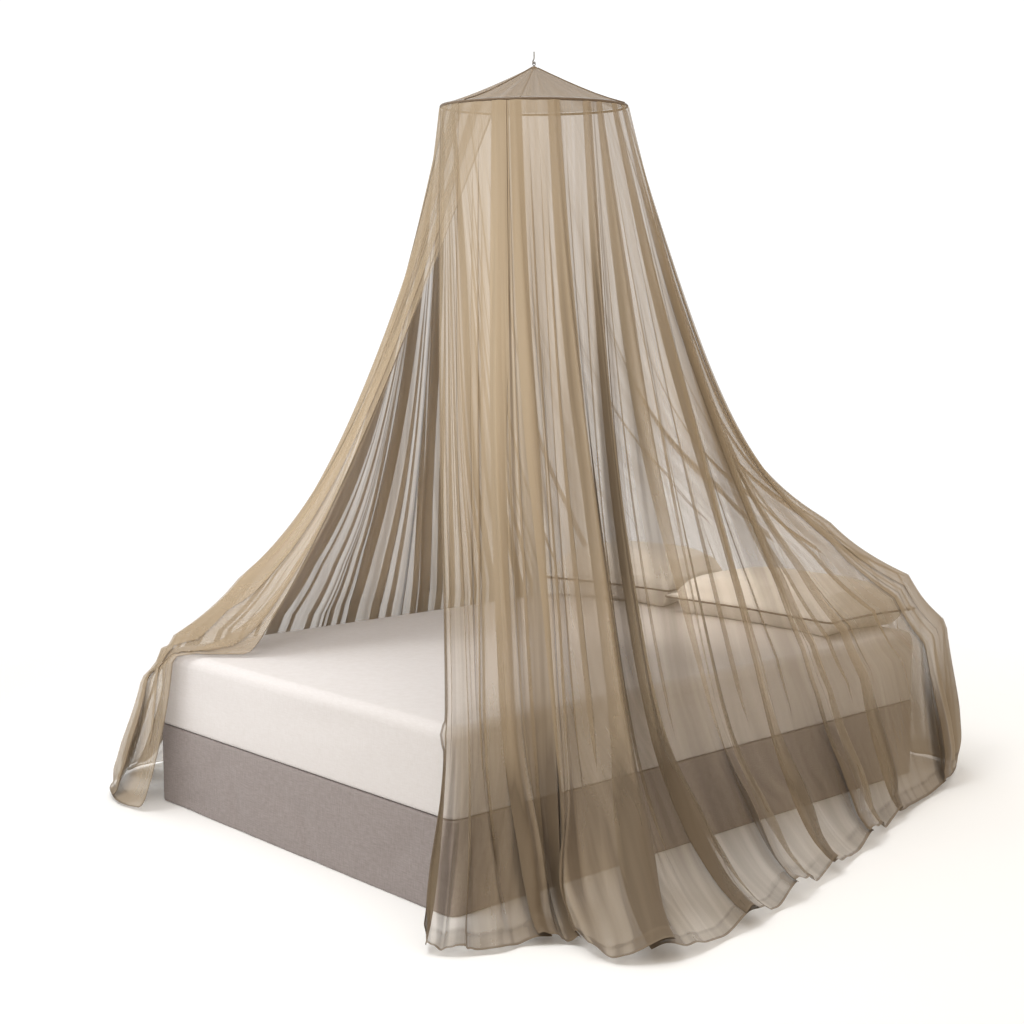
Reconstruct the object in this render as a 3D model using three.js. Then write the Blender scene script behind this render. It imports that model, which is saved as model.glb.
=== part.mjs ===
// A bed canopy of fine net on a hoop, hung from a ceiling hook over a bed with two pillows.
// Millimetres, +Z up, +X towards the bed's head, +Y towards the bed's far side.
// The origin is the middle of the hook's top face. Heights below are measured up from the floor,
// and the whole group is lowered by HOOK_TOP at the end.
import * as THREE from 'three';
import { mergeVertices } from 'three/addons/utils/BufferGeometryUtils.js';

// Clearances and cloth
const TOUCH_GAP = 0.4;
const NET_THICK = 2.6;
const HEM_HEIGHT = 2.5;
const FLOOR_GAP = 0.3;
const HANG_GAP = 0.8;
const BED_EDGE_GAP = 9;
const BED_TOP_GAP = 0.7;
const TOP_FROM = 0.9;
const TOP_FULL = 0.99;

// Ceiling hook, hanging loop and apex cap
const HOOK_TOP = 2286;
const HOOK_WIRE = 2.2;
const HOOK_BEND = 5.5;
const HOOK_BEND_FROM_DEG = 70;
const HOOK_BEND_TO_DEG = -160;
const HOOK_BEND_STEPS = 5;
const HOOK_SHANK_FOOT = 1.6;
const LOOP_RADIUS = 5.5;
const LOOP_CORD = 1.4;
const CAP_RADIUS = 9.6;
const CAP_HEIGHT = 8;
const CAP_SINK = 3;
const CAP_PROFILE = [
  { out: 0, up: 0 },
  { out: 1, up: 0 },
  { out: 1, up: 0.5 },
  { out: 0.8, up: 0.8 },
  { out: 0.35, up: 1 },
  { out: 0, up: 1 },
];

// Hoop and crown. The hoop hangs a little lower on the doorway's near side.
const HOOP_RADIUS = 283;
const HOOP_TUBE = 4;
const HOOP_HEIGHT = 2122;
const HOOP_TILT_DEG = 3.8;
const HOOP_LOW_DEG = -133;
const CROWN_TOP = 2238;
const CROWN_NECK = 10;
const CROWN_HOLLOW = 1.2;
const CROWN_SEAMS_DEG = [-179, -59, 61];
const CROWN_SPAN_DEG = 360 / CROWN_SEAMS_DEG.length;
const PIPING_INSET = 0.004;
const PIPING_STEPS = 4;
const PIPING_RADIUS = 2.2;

// Bed
const BED_LENGTH = 2000;
const BED_WIDTH = 1400;
const BED_SHIFT = 70;
const BASE_HEIGHT = 242;
const BASE_CORNER = 30;
const BASE_EDGE = 6;
const MATTRESS_HEIGHT = 232;
const MATTRESS_CORNER = 36;
const MATTRESS_EDGE = 34;
const MATTRESS_FOOT = BASE_HEIGHT + TOUCH_GAP;
const MATTRESS_TOP = MATTRESS_FOOT + MATTRESS_HEIGHT;

// Each drop is one line of the net from the hoop, over its knee beside the bed's edge, to its hem
// on the floor. hoop is where it hangs on the hoop, in degrees from +X. straight is the share of its
// way out to the knee that it runs in a straight line, and swing is how late it swings out for the rest.
const DROPS = [
  { hoop: -208, straight: 0.76, swing: 4.5, kneeX: -936, kneeY: -690, kneeZ: 480, hemX: -1115, hemY: -800 },
  { hoop: -190, straight: 0.74, swing: 4.5, kneeX: -918, kneeY: -720, kneeZ: 480, hemX: -1090, hemY: -870 },
  { hoop: -172, straight: 0.72, swing: 4.5, kneeX: -882, kneeY: -728, kneeZ: 480, hemX: -990, hemY: -935 },
  { hoop: -158, straight: 0.7, swing: 4.5, kneeX: -842, kneeY: -730, kneeZ: 480, hemX: -905, hemY: -950 },
  { hoop: -145, straight: 0.84, swing: 4.5, kneeX: -672, kneeY: -734, kneeZ: 478, hemX: -825, hemY: -1030 },
  { hoop: -131, straight: 0.74, swing: 4.5, kneeX: -568, kneeY: -742, kneeZ: 475, hemX: -835, hemY: -1170 },
  { hoop: -118, straight: 0.7, swing: 4.5, kneeX: -432, kneeY: -756, kneeZ: 470, hemX: -690, hemY: -1245 },
  { hoop: -100, straight: 0.68, swing: 4.5, kneeX: -350, kneeY: -772, kneeZ: 465, hemX: -410, hemY: -1220 },
  { hoop: -90, straight: 0.92, swing: 4.5, kneeX: -135, kneeY: -778, kneeZ: 465, hemX: -170, hemY: -1180 },
  { hoop: -78, straight: 0.92, swing: 4.5, kneeX: 75, kneeY: -775, kneeZ: 466, hemX: 40, hemY: -1130 },
  { hoop: -64, straight: 0.74, swing: 4.5, kneeX: 345, kneeY: -765, kneeZ: 475, hemX: 345, hemY: -1045 },
  { hoop: -45, straight: 0.53, swing: 5.5, kneeX: 710, kneeY: -745, kneeZ: 510, hemX: 665, hemY: -945 },
  { hoop: -30, straight: 0.49, swing: 6.5, kneeX: 1020, kneeY: -730, kneeZ: 574, hemX: 1018, hemY: -858 },
  { hoop: -14, straight: 0.48, swing: 8, kneeX: 1200, kneeY: -668, kneeZ: 610, hemX: 1230, hemY: -722 },
  { hoop: 10, straight: 0.46, swing: 7, kneeX: 1202, kneeY: -400, kneeZ: 655, hemX: 1252, hemY: -400 },
  { hoop: 35, straight: 0.47, swing: 6, kneeX: 1202, kneeY: -50, kneeZ: 680, hemX: 1252, hemY: -50 },
  { hoop: 58, straight: 0.48, swing: 5, kneeX: 1200, kneeY: 350, kneeZ: 730, hemX: 1250, hemY: 360 },
  { hoop: 78, straight: 0.52, swing: 4.5, kneeX: 1165, kneeY: 720, kneeZ: 640, hemX: 1220, hemY: 820 },
  { hoop: 98, straight: 0.6, swing: 4.5, kneeX: 820, kneeY: 752, kneeZ: 490, hemX: 860, hemY: 1000 },
  { hoop: 118, straight: 0.64, swing: 4.5, kneeX: 400, kneeY: 765, kneeZ: 470, hemX: 450, hemY: 1080 },
  { hoop: 138, straight: 0.66, swing: 5, kneeX: -20, kneeY: 768, kneeZ: 470, hemX: 0, hemY: 1100 },
  { hoop: 155, straight: 0.66, swing: 6, kneeX: -420, kneeY: 754, kneeZ: 474, hemX: -420, hemY: 1090 },
  { hoop: 172, straight: 0.66, swing: 8, kneeX: -795, kneeY: 732, kneeZ: 477, hemX: -800, hemY: 1060 },
  { hoop: 186, straight: 0.62, swing: 8, kneeX: -925, kneeY: 714, kneeZ: 481, hemX: -980, hemY: 900 },
  { hoop: 196, straight: 0.68, swing: 8, kneeX: -958, kneeY: 640, kneeZ: 475.8, hemX: -1050, hemY: 755 },
  { hoop: 205, straight: 0.83, swing: 8, kneeX: -962, kneeY: 535, kneeZ: 475.2, hemX: -1040, hemY: 630 },
];

// The two free edges, and the small steps over which the net's slope is taken.
const FIRST_DEG = DROPS[0].hoop;
const LAST_DEG = DROPS[DROPS.length - 1].hoop;
const STEP_DEG = 0.5;
const STEP_FALL = 0.03;

// Each pleat is folded flat into a strip at the hoop and opens downwards into one deep fold
// with a smaller one beside it. Depths are in millimetres at the bed's height.
const PLEATS = [
  { hoop: -202, strip: 14, deep: 14, minor: 6 },
  { hoop: -183, strip: 26, deep: 20, minor: 10 },
  { hoop: -154, strip: 22, deep: 30, minor: 12 },
  { hoop: -144, strip: 18, deep: 46, minor: 22 },
  { hoop: -122, strip: 32, deep: 78, minor: 34 },
  { hoop: -101, strip: 30, deep: 70, minor: 20 },
  { hoop: -92, strip: 18, deep: 84, minor: 38 },
  { hoop: -78, strip: 24, deep: 62, minor: 26 },
  { hoop: -66, strip: 30, deep: 74, minor: 40 },
  { hoop: -50, strip: 34, deep: 42, minor: 20 },
  { hoop: -33, strip: 22, deep: 36, minor: 18 },
  { hoop: -16, strip: 28, deep: 20, minor: 10 },
  { hoop: 2, strip: 24, deep: 24, minor: 14 },
  { hoop: 20, strip: 30, deep: 28, minor: 14 },
  { hoop: 38, strip: 22, deep: 54, minor: 28 },
  { hoop: 56, strip: 28, deep: 46, minor: 20 },
  { hoop: 74, strip: 24, deep: 58, minor: 22 },
  { hoop: 92, strip: 32, deep: 64, minor: 34 },
  { hoop: 109, strip: 22, deep: 70, minor: 26 },
  { hoop: 126, strip: 28, deep: 58, minor: 36 },
  { hoop: 142, strip: 24, deep: 48, minor: 20 },
  { hoop: 157, strip: 30, deep: 26, minor: 14 },
  { hoop: 174, strip: 26, deep: 16, minor: 9 },
  { hoop: 191, strip: 20, deep: 12, minor: 6 },
];

// The net is cut in gores, each with three pleats.
const GORE_NAMES = [
  'net_gore_near_flap', 'net_gore_near_foot', 'net_gore_near_middle', 'net_gore_near_head',
  'net_gore_head', 'net_gore_far_head', 'net_gore_far_foot', 'net_gore_far_flap',
];
const PLEATS_PER_GORE = 3;
const COLUMNS_PER_PLEAT = 6;
const ROWS_ABOVE_KNEE = 8;
const ROWS_BELOW_KNEE = 7;
const NET_ROWS = ROWS_ABOVE_KNEE + ROWS_BELOW_KNEE;
const NET_COLUMNS = PLEATS.length * COLUMNS_PER_PLEAT;
const ROW_CROWDING = 1.5;
const EDGE_INSET = 0.2;

// How the net swings out to its knee, how soft its bend is there, and how it spreads on the floor.
// The far flap touches down on the bed's top a little before its knee.
const KNEE_SOFT = 0.13;
const LIE_SHARE = 0.14;
const LIE_CRISP = 0.85;
const LIE_START_DEG = 190;
const LIE_FULL_DEG = 204;
const TOE_SHARE = 0.3;
const TOE_HEIGHT = 30;
const STRIP_REACH = 2 / 3;
const RIDGE_WIDTH = 0.42;
const MINOR_PLACE = 0.62;
const MINOR_WIDTH = 0.2;
const DEPTH_AT_HOOP = 0.06;
const DEPTH_AT_HEM = 0.5;
const FAN_END = 1.1;
const DEPTH_FULL = 0.9;
const LAID_START = 1.4;

// Where the two flaps lie over each other below the hoop, they part by this much to each side.
const FLAP_PART_AT_HOOP = 4;
const NEAR_FLAP_PART = 8;
const FAR_FLAP_PART = 40;
const FAR_FLAP_START_DEG = 134;
const FAR_FLAP_FULL_DEG = 152;
const FAR_PART_START_DEG = 150;
const FAR_PART_FULL_DEG = 182;
const NEAR_FLAP_START_DEG = -132;
const NEAR_FLAP_FULL_DEG = -152;
const FLAP_END = 0.8;

// Pillows, by the seam line's height and the filling above it. turn is in degrees.
const PILLOW_PINCH = 0.11;
const PILLOW_END_PINCH = 0.077;
const PILLOW_LIP = 6;
const PILLOW_BELLY = 1.6;
const PILLOWS = [
  { name: 'pillow_near', x: 928, y: -280, wide: 470, long: 740, seam: 58, crown: 92, turn: -2 },
  { name: 'pillow_far', x: 925, y: 414, wide: 440, long: 580, seam: 70, crown: 120, turn: 8 },
];

const NET = { color: 0xb8a488, roughness: 0.8, metalness: 0 };
const TRIM = { color: 0x7a6750, roughness: 0.8, metalness: 0 };
const STEEL = { color: 0xb4b4b2, roughness: 0.35, metalness: 1 };
const SHEET = { color: 0xe6dfd4, roughness: 0.9, metalness: 0 };
const UPHOLSTERY = { color: 0x97908f, roughness: 0.95, metalness: 0 };
const PILLOWCASE = { color: 0xece6dc, roughness: 0.9, metalness: 0 };

const BACK_FACE = 5;
const rad = THREE.MathUtils.degToRad;
const canopy = new THREE.Group();

function addMesh(name, geometry, finish) {
  geometry.deleteAttribute('normal');
  geometry.deleteAttribute('uv');
  const welded = mergeVertices(geometry, 1e-4);
  welded.computeVertexNormals();
  const mesh = new THREE.Mesh(welded, new THREE.MeshStandardMaterial(finish));
  mesh.name = name;
  canopy.add(mesh);
  return mesh;
}

// Moves each point of a unit box to place(across, up, out), with all three from 0 to 1.
// The back face's squares are split along the front's diagonals, so that both faces bend alike.
function bend(box, place) {
  const back = box.groups[BACK_FACE];
  for (let i = back.start; i < back.start + back.count; i += 6) {
    const [a, b, d, , c] = box.index.array.slice(i, i + 6);
    box.index.array.set([a, b, c, a, c, d], i);
  }
  const position = box.getAttribute('position');
  for (let i = 0; i < position.count; i += 1) {
    const point = place(position.getX(i) + 0.5, position.getY(i) + 0.5, position.getZ(i) + 0.5);
    position.setXYZ(i, point.x, point.y, point.z);
  }
  return box;
}

// A smooth value of one of the drops' columns at an angle on the hoop.
function dropValue(column, deg) {
  const last = DROPS.length - 1;
  let i = 0;
  while (i < last - 1 && deg > DROPS[i + 1].hoop) {
    i += 1;
  }
  const slope = (k) => {
    const before = DROPS[Math.max(k - 1, 0)];
    const after = DROPS[Math.min(k + 1, last)];
    return (after[column] - before[column]) / (after.hoop - before.hoop);
  };
  const span = DROPS[i + 1].hoop - DROPS[i].hoop;
  const s = (deg - DROPS[i].hoop) / span;
  const s2 = s * s;
  const s3 = s2 * s;
  return (2 * s3 - 3 * s2 + 1) * DROPS[i][column] + (s3 - 2 * s2 + s) * span * slope(i)
    + (3 * s2 - 2 * s3) * DROPS[i + 1][column] + (s3 - s2) * span * slope(i + 1);
}

// A point near the tilted hoop, by angle, distance out from its middle and height above its plane.
function hoopPoint(deg, radius, rise) {
  const low = rad(HOOP_LOW_DEG);
  const tiltAxis = new THREE.Vector3(-Math.sin(low), Math.cos(low), 0);
  const point = new THREE.Vector3(radius * Math.cos(rad(deg)), radius * Math.sin(rad(deg)), rise);
  point.applyAxisAngle(tiltAxis, rad(HOOP_TILT_DEG));
  point.z += HOOP_HEIGHT;
  return point;
}

// How far the flaps part at this angle: outwards on the near flap, inwards on the far one.
function flapSide(deg) {
  const near = THREE.MathUtils.smoothstep(-deg, -NEAR_FLAP_START_DEG, -NEAR_FLAP_FULL_DEG);
  const far = THREE.MathUtils.smoothstep(deg, FAR_FLAP_START_DEG, FAR_FLAP_FULL_DEG);
  return near - far;
}

// How fully the net lies down on the bed at this angle.
function lieAt(deg) {
  return THREE.MathUtils.smoothstep(deg, LIE_START_DEG, LIE_FULL_DEG);
}

// One drop before its knee is softened. fall runs from 0 at the hoop to 1 at the knee and 2 at the hem.
function hangingLine(deg, fall) {
  const part = flapSide(deg);
  const top = hoopPoint(deg, HOOP_RADIUS + part * FLAP_PART_AT_HOOP, -HOOP_TUBE - HANG_GAP);
  const kneeX = dropValue('kneeX', deg);
  const kneeY = dropValue('kneeY', deg);
  const knee = new THREE.Vector3(kneeX, kneeY, dropValue('kneeZ', deg));
  if (fall > 1) {
    const hem = new THREE.Vector3(dropValue('hemX', deg), dropValue('hemY', deg), HEM_HEIGHT);
    const toe = knee.clone().lerp(hem, TOE_SHARE);
    toe.z = TOE_HEIGHT;
    return new THREE.QuadraticBezierCurve3(knee, toe, hem).getPoint(fall - 1);
  }
  const straight = dropValue('straight', deg);
  const swing = straight * fall + (1 - straight) * fall ** dropValue('swing', deg);
  const lie = LIE_SHARE * lieAt(deg);
  const outward = new THREE.Vector3(Math.cos(rad(deg)), Math.sin(rad(deg)), 0);
  const farPart = THREE.MathUtils.smoothstep(deg, FAR_PART_START_DEG, FAR_PART_FULL_DEG);
  const most = NEAR_FLAP_PART * Math.max(part, 0) - FAR_FLAP_PART * farPart;
  const parting = most * Math.sin(Math.PI * Math.min(fall / FLAP_END, 1));
  return new THREE.Vector3(
    THREE.MathUtils.lerp(top.x, knee.x, swing),
    THREE.MathUtils.lerp(top.y, knee.y, swing),
    THREE.MathUtils.lerp(top.z, knee.z, Math.min(fall / (1 - lie), 1)),
  ).addScaledVector(outward, parting);
}

// The net's smooth surface before folding.
function smoothNet(deg, fall) {
  const soft = Math.min(KNEE_SOFT * (1 - LIE_CRISP * lieAt(deg)), fall, 2 - fall);
  const above = hangingLine(deg, fall - soft);
  const below = hangingLine(deg, fall + soft);
  return hangingLine(deg, fall).lerp(above.lerp(below, 0.5), 0.5);
}

// The outward direction of the smooth surface.
function smoothNormal(deg, fall) {
  const left = smoothNet(Math.max(deg - STEP_DEG, FIRST_DEG), fall);
  const right = smoothNet(Math.min(deg + STEP_DEG, LAST_DEG), fall);
  const above = smoothNet(deg, Math.max(fall - STEP_FALL, 0));
  const below = smoothNet(deg, Math.min(fall + STEP_FALL, 2));
  return below.sub(above).cross(right.sub(left)).normalize();
}

// The cell of cloth that one pleat takes up, between the middles of the spans beside it.
function pleatCell(index) {
  const pleat = PLEATS[index];
  const edge = (beside, end) => (beside ? (beside.hoop + pleat.hoop) / 2 : end);
  const before = edge(PLEATS[index - 1], FIRST_DEG);
  const after = edge(PLEATS[index + 1], LAST_DEG);
  return { ...pleat, before, after };
}

// The angle of a line of cloth: gathered into the pleat's strip at the hoop, and even below.
function clothAngle(cell, across, fall) {
  const side = across < 0 ? cell.hoop - cell.before : cell.after - cell.hoop;
  const even = cell.hoop + across * side;
  const halfStrip = THREE.MathUtils.radToDeg(cell.strip / 2 / HOOP_RADIUS);
  const stripDeg = Math.min(halfStrip, side * STRIP_REACH);
  const reach = Math.abs(across);
  const gathered = reach < STRIP_REACH
    ? stripDeg * reach / STRIP_REACH
    : stripDeg + (side - stripDeg) * (reach - STRIP_REACH) / (1 - STRIP_REACH);
  const fan = THREE.MathUtils.smoothstep(fall, 0, FAN_END);
  return THREE.MathUtils.lerp(cell.hoop + Math.sign(across) * gathered, even, fan);
}

// How far a line of cloth stands out of the smooth surface.
function foldDepth(cell, across, fall) {
  const ridge = Math.exp(-((across / RIDGE_WIDTH) ** 2));
  const minor = Math.exp(-(((across - MINOR_PLACE) / MINOR_WIDTH) ** 2));
  const shape = cell.deep * ridge + cell.minor * minor;
  const growth = THREE.MathUtils.smoothstep(fall, 0, DEPTH_FULL);
  const spread = THREE.MathUtils.smoothstep(fall, LAID_START, 2);
  const grown = THREE.MathUtils.lerp(DEPTH_AT_HOOP, 1, growth);
  const laid = THREE.MathUtils.lerp(1, DEPTH_AT_HEM, spread);
  return shape * grown * laid;
}

// Moves a point of the net off the bed, which is taken as a box with rounded edges.
// The net lies close on the bed's top and a little further off its edges and sides.
function clearOfBed(point) {
  const half = new THREE.Vector3(BED_LENGTH / 2, BED_WIDTH / 2, MATTRESS_TOP / 2);
  const middle = new THREE.Vector3(BED_SHIFT, 0, MATTRESS_TOP / 2);
  const core = half.clone().subScalar(MATTRESS_EDGE);
  const local = point.clone().sub(middle);
  const nearest = local.clone().clamp(core.clone().negate(), core);
  if (nearest.equals(local)) {
    const depths = {
      x: core.x - Math.abs(local.x),
      y: core.y - Math.abs(local.y),
      z: core.z - local.z,
    };
    const axis = Object.keys(depths).reduce((a, b) => (depths[a] < depths[b] ? a : b));
    nearest[axis] = Math.sign(local[axis]) * core[axis];
    local[axis] = nearest[axis] + Math.sign(local[axis]);
  }
  const reach = local.sub(nearest);
  const onTop = THREE.MathUtils.smoothstep(reach.z / reach.length(), TOP_FROM, TOP_FULL);
  const gap = NET_THICK / 2 + THREE.MathUtils.lerp(BED_EDGE_GAP, BED_TOP_GAP, onTop);
  reach.setLength(Math.max(reach.length(), MATTRESS_EDGE + gap));
  return nearest.add(reach).add(middle);
}

// Rows lie closer together towards the knee.
function rowFall(row) {
  if (row <= ROWS_ABOVE_KNEE) {
    return 1 - (1 - row / ROWS_ABOVE_KNEE) ** ROW_CROWDING;
  }
  return 1 + ((row - ROWS_ABOVE_KNEE) / ROWS_BELOW_KNEE) ** ROW_CROWDING;
}

// A point of the folded net, by its row and its column over all the gores.
function netPoint(column, row) {
  const index = Math.min(Math.floor(column / COLUMNS_PER_PLEAT), PLEATS.length - 1);
  const across = 2 * (column / COLUMNS_PER_PLEAT - index) - 1;
  const cell = pleatCell(index);
  const fall = rowFall(row);
  const deg = clothAngle(cell, across, fall);
  const point = smoothNet(deg, fall);
  return clearOfBed(point.addScaledVector(smoothNormal(deg, fall), foldDepth(cell, across, fall)));
}

// The direction in which the folded net's thickness lies, taken between the points around this one.
function netNormal(column, row) {
  const left = netPoint(Math.max(column - 1, 0), row);
  const right = netPoint(Math.min(column + 1, NET_COLUMNS), row);
  const above = netPoint(column, Math.max(row - 1, 0));
  const below = netPoint(column, Math.min(row + 1, NET_ROWS));
  return below.sub(above).cross(right.sub(left)).normalize();
}

// One gore of net: a thin box bent along its pleats, with a small gap to the gores beside it.
function addGore(goreIndex) {
  const columns = PLEATS_PER_GORE * COLUMNS_PER_PLEAT;
  const first = goreIndex * columns;
  const last = first + columns;
  const place = (across, up, out) => {
    const column = first + Math.round(across * columns);
    const row = Math.round((1 - up) * NET_ROWS);
    const point = netPoint(column, row);
    if (column === first || column === last) {
      const inner = netPoint(column === first ? first + EDGE_INSET : last - EDGE_INSET, row);
      point.addScaledVector(inner.sub(point).normalize(), TOUCH_GAP / 2);
    }
    point.addScaledVector(netNormal(column, row), (out - 0.5) * NET_THICK);
    point.z = Math.max(point.z, FLOOR_GAP + out * NET_THICK);
    return point;
  };
  const box = new THREE.BoxGeometry(1, 1, 1, columns, NET_ROWS, 1);
  addMesh(GORE_NAMES[goreIndex], bend(box, place), NET);
}

// The crown's surface, from 0 at the hoop to 1 at the neck below the cap.
function crownPoint(deg, climb) {
  const rim = hoopPoint(deg, HOOP_RADIUS, HOOP_TUBE + TOUCH_GAP + NET_THICK / 2);
  return new THREE.Vector3(
    THREE.MathUtils.lerp(rim.x, CROWN_NECK * Math.cos(rad(deg)), climb),
    THREE.MathUtils.lerp(rim.y, CROWN_NECK * Math.sin(rad(deg)), climb),
    THREE.MathUtils.lerp(rim.z, CROWN_TOP, climb ** CROWN_HOLLOW),
  );
}

// One of the crown's three gores, held back from the piped seams at its sides.
function addCrownGore(index) {
  const from = CROWN_SEAMS_DEG[index];
  const clear = PIPING_RADIUS + TOUCH_GAP;
  const place = (across, up, out) => {
    const radius = crownPoint(from, up).setZ(0).length();
    const edge = THREE.MathUtils.radToDeg(clear / radius);
    const deg = THREE.MathUtils.lerp(from + edge, from + CROWN_SPAN_DEG - edge, across);
    return crownPoint(deg, up).add(new THREE.Vector3(0, 0, (out - 0.5) * NET_THICK));
  };
  addMesh(`crown_gore_${index + 1}`, bend(new THREE.BoxGeometry(1, 1, 1, 10, 4, 1), place), NET);
}

function circle(radius) {
  return new THREE.Shape().absarc(0, 0, radius, 0, 2 * Math.PI);
}

function tube(points, radius, steps, sides) {
  const path = new THREE.CatmullRomCurve3(points);
  return new THREE.ExtrudeGeometry(circle(radius), {
    steps, curveSegments: sides / 2, bevelEnabled: false, extrudePath: path,
  });
}

function addCrownPiping(index) {
  const points = [];
  for (let i = 0; i <= PIPING_STEPS; i += 1) {
    const climb = THREE.MathUtils.lerp(PIPING_INSET, 1 - PIPING_INSET, i / PIPING_STEPS);
    points.push(crownPoint(CROWN_SEAMS_DEG[index], climb));
  }
  addMesh(`crown_piping_${index + 1}`, tube(points, PIPING_RADIUS, 6, 6), TRIM);
}

function addHoop() {
  const hoop = addMesh('hoop', new THREE.TorusGeometry(HOOP_RADIUS, HOOP_TUBE, 8, 54), TRIM);
  const low = rad(HOOP_LOW_DEG);
  const tiltAxis = new THREE.Vector3(-Math.sin(low), Math.cos(low), 0);
  hoop.quaternion.setFromAxisAngle(tiltAxis, rad(HOOP_TILT_DEG));
  hoop.position.z = HOOP_HEIGHT;
}

// The cap that gathers the crown's point, the cord loop standing on it, and the hook that carries it.
function addHanger() {
  const capFoot = CROWN_TOP - CAP_SINK;
  const capTop = capFoot + CAP_HEIGHT;
  const profile = CAP_PROFILE.map(
    ({ out, up }) => new THREE.Vector2(CAP_RADIUS * out, capFoot + CAP_HEIGHT * up),
  );
  const cap = new THREE.LatheGeometry(profile, 12).rotateX(Math.PI / 2);
  addMesh('apex_cap', cap, TRIM);

  const loopMiddle = capTop + TOUCH_GAP + LOOP_RADIUS + LOOP_CORD;
  const loop = new THREE.TorusGeometry(LOOP_RADIUS, LOOP_CORD, 6, 14).rotateX(Math.PI / 2);
  loop.translate(0, 0, loopMiddle);
  addMesh('hanging_loop', loop, TRIM);

  const seat = loopMiddle + LOOP_RADIUS - LOOP_CORD - TOUCH_GAP - HOOK_WIRE;
  const bendMiddle = seat + HOOK_BEND;
  const points = [
    new THREE.Vector3(0, 0, HOOK_TOP),
    new THREE.Vector3(0, 0, bendMiddle + HOOK_BEND * HOOK_SHANK_FOOT),
  ];
  for (let i = 0; i <= HOOK_BEND_STEPS; i += 1) {
    const turn = rad(THREE.MathUtils.lerp(HOOK_BEND_FROM_DEG, HOOK_BEND_TO_DEG, i / HOOK_BEND_STEPS));
    const bendY = HOOK_BEND * Math.cos(turn);
    points.push(new THREE.Vector3(0, bendY, bendMiddle + HOOK_BEND * Math.sin(turn)));
  }
  addMesh('ceiling_hook', tube(points, HOOK_WIRE, 24, 8), STEEL);
}

function roundedRect(length, width, corner) {
  const x = length / 2;
  const y = width / 2;
  const shape = new THREE.Shape();
  shape.absarc(x - corner, y - corner, corner, 0, Math.PI / 2);
  shape.absarc(-x + corner, y - corner, corner, Math.PI / 2, Math.PI);
  shape.absarc(-x + corner, -y + corner, corner, Math.PI, 1.5 * Math.PI);
  shape.absarc(x - corner, -y + corner, corner, 1.5 * Math.PI, 2 * Math.PI);
  return shape;
}

// A slab of the bed with rounded upper and lower edges. corner is the top face's corner radius.
function addSlab(name, foot, height, corner, edge, finish) {
  const outline = roundedRect(BED_LENGTH - 2 * edge, BED_WIDTH - 2 * edge, corner);
  const slab = new THREE.ExtrudeGeometry(outline, {
    depth: height - 2 * edge, bevelThickness: edge, bevelSize: edge, bevelSegments: 3, curveSegments: 3,
  });
  slab.translate(BED_SHIFT, 0, foot + edge);
  addMesh(name, slab, finish);
}

// A filled pillow: crowned above its seam line, flat below, with its sides drawn in between the corners.
function addPillow(pillow) {
  const place = (across, up, out) => {
    const x = 2 * across - 1;
    const y = 2 * up - 1;
    const fill = Math.sqrt((1 - x ** 4) * (1 - y ** 4));
    const belly = PILLOW_LIP + pillow.seam * PILLOW_BELLY * fill;
    const rise = out > 0.75 ? PILLOW_LIP + pillow.crown * fill : 0;
    const drop = out < 0.25 ? Math.min(belly, pillow.seam - TOUCH_GAP) : 0;
    return new THREE.Vector3(
      x * pillow.wide / 2 * (1 - PILLOW_PINCH * (1 - y * y)),
      y * pillow.long / 2 * (1 - PILLOW_END_PINCH * (1 - x * x)),
      MATTRESS_TOP + pillow.seam + rise - drop,
    );
  };
  const box = new THREE.BoxGeometry(1, 1, 1, 10, 12, 2);
  const mesh = addMesh(pillow.name, bend(box, place), PILLOWCASE);
  mesh.position.set(pillow.x, pillow.y, 0);
  mesh.rotation.z = rad(pillow.turn);
}

addHanger();
addHoop();
CROWN_SEAMS_DEG.forEach((deg, index) => {
  addCrownGore(index);
  addCrownPiping(index);
});
GORE_NAMES.forEach((name, index) => addGore(index));
addSlab('bed_base', 0, BASE_HEIGHT, BASE_CORNER, BASE_EDGE, UPHOLSTERY);
addSlab('mattress', MATTRESS_FOOT, MATTRESS_HEIGHT, MATTRESS_CORNER, MATTRESS_EDGE, SHEET);
PILLOWS.forEach(addPillow);

canopy.position.z = -HOOK_TOP;

export default canopy;
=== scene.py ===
import math

import bmesh
import bpy
import numpy as np
from mathutils import Matrix, Vector


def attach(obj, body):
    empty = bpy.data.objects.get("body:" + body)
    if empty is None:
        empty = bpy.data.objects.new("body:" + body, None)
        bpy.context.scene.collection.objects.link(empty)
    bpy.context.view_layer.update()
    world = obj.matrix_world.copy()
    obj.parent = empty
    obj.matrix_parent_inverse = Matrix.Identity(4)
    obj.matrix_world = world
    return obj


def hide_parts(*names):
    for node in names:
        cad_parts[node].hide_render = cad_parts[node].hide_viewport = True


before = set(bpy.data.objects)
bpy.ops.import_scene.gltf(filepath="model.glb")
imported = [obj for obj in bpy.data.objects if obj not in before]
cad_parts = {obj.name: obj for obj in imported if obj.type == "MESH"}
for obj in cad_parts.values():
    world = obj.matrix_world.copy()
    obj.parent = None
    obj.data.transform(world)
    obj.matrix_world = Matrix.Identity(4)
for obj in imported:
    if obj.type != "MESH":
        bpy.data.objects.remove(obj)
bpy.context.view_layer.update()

# Sizes below are in millimetres up from the floor, as in the part's source.
# to_frame() turns them into metres from the hook's top.
MM = 0.001
HOOK_TOP = 2286
FLOOR_Z = -HOOK_TOP * MM

# Camera, solved from the bed's edges, with its place in metres
CAMERA_PLACE = (-3.311, -3.516, 1.383 + FLOOR_Z)
CAMERA_YAW_DEG = 47.51
CAMERA_PITCH_DEG = -5.89
CAMERA_LENS_MM = 54.69
CAMERA_SENSOR_MM = 36

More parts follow.
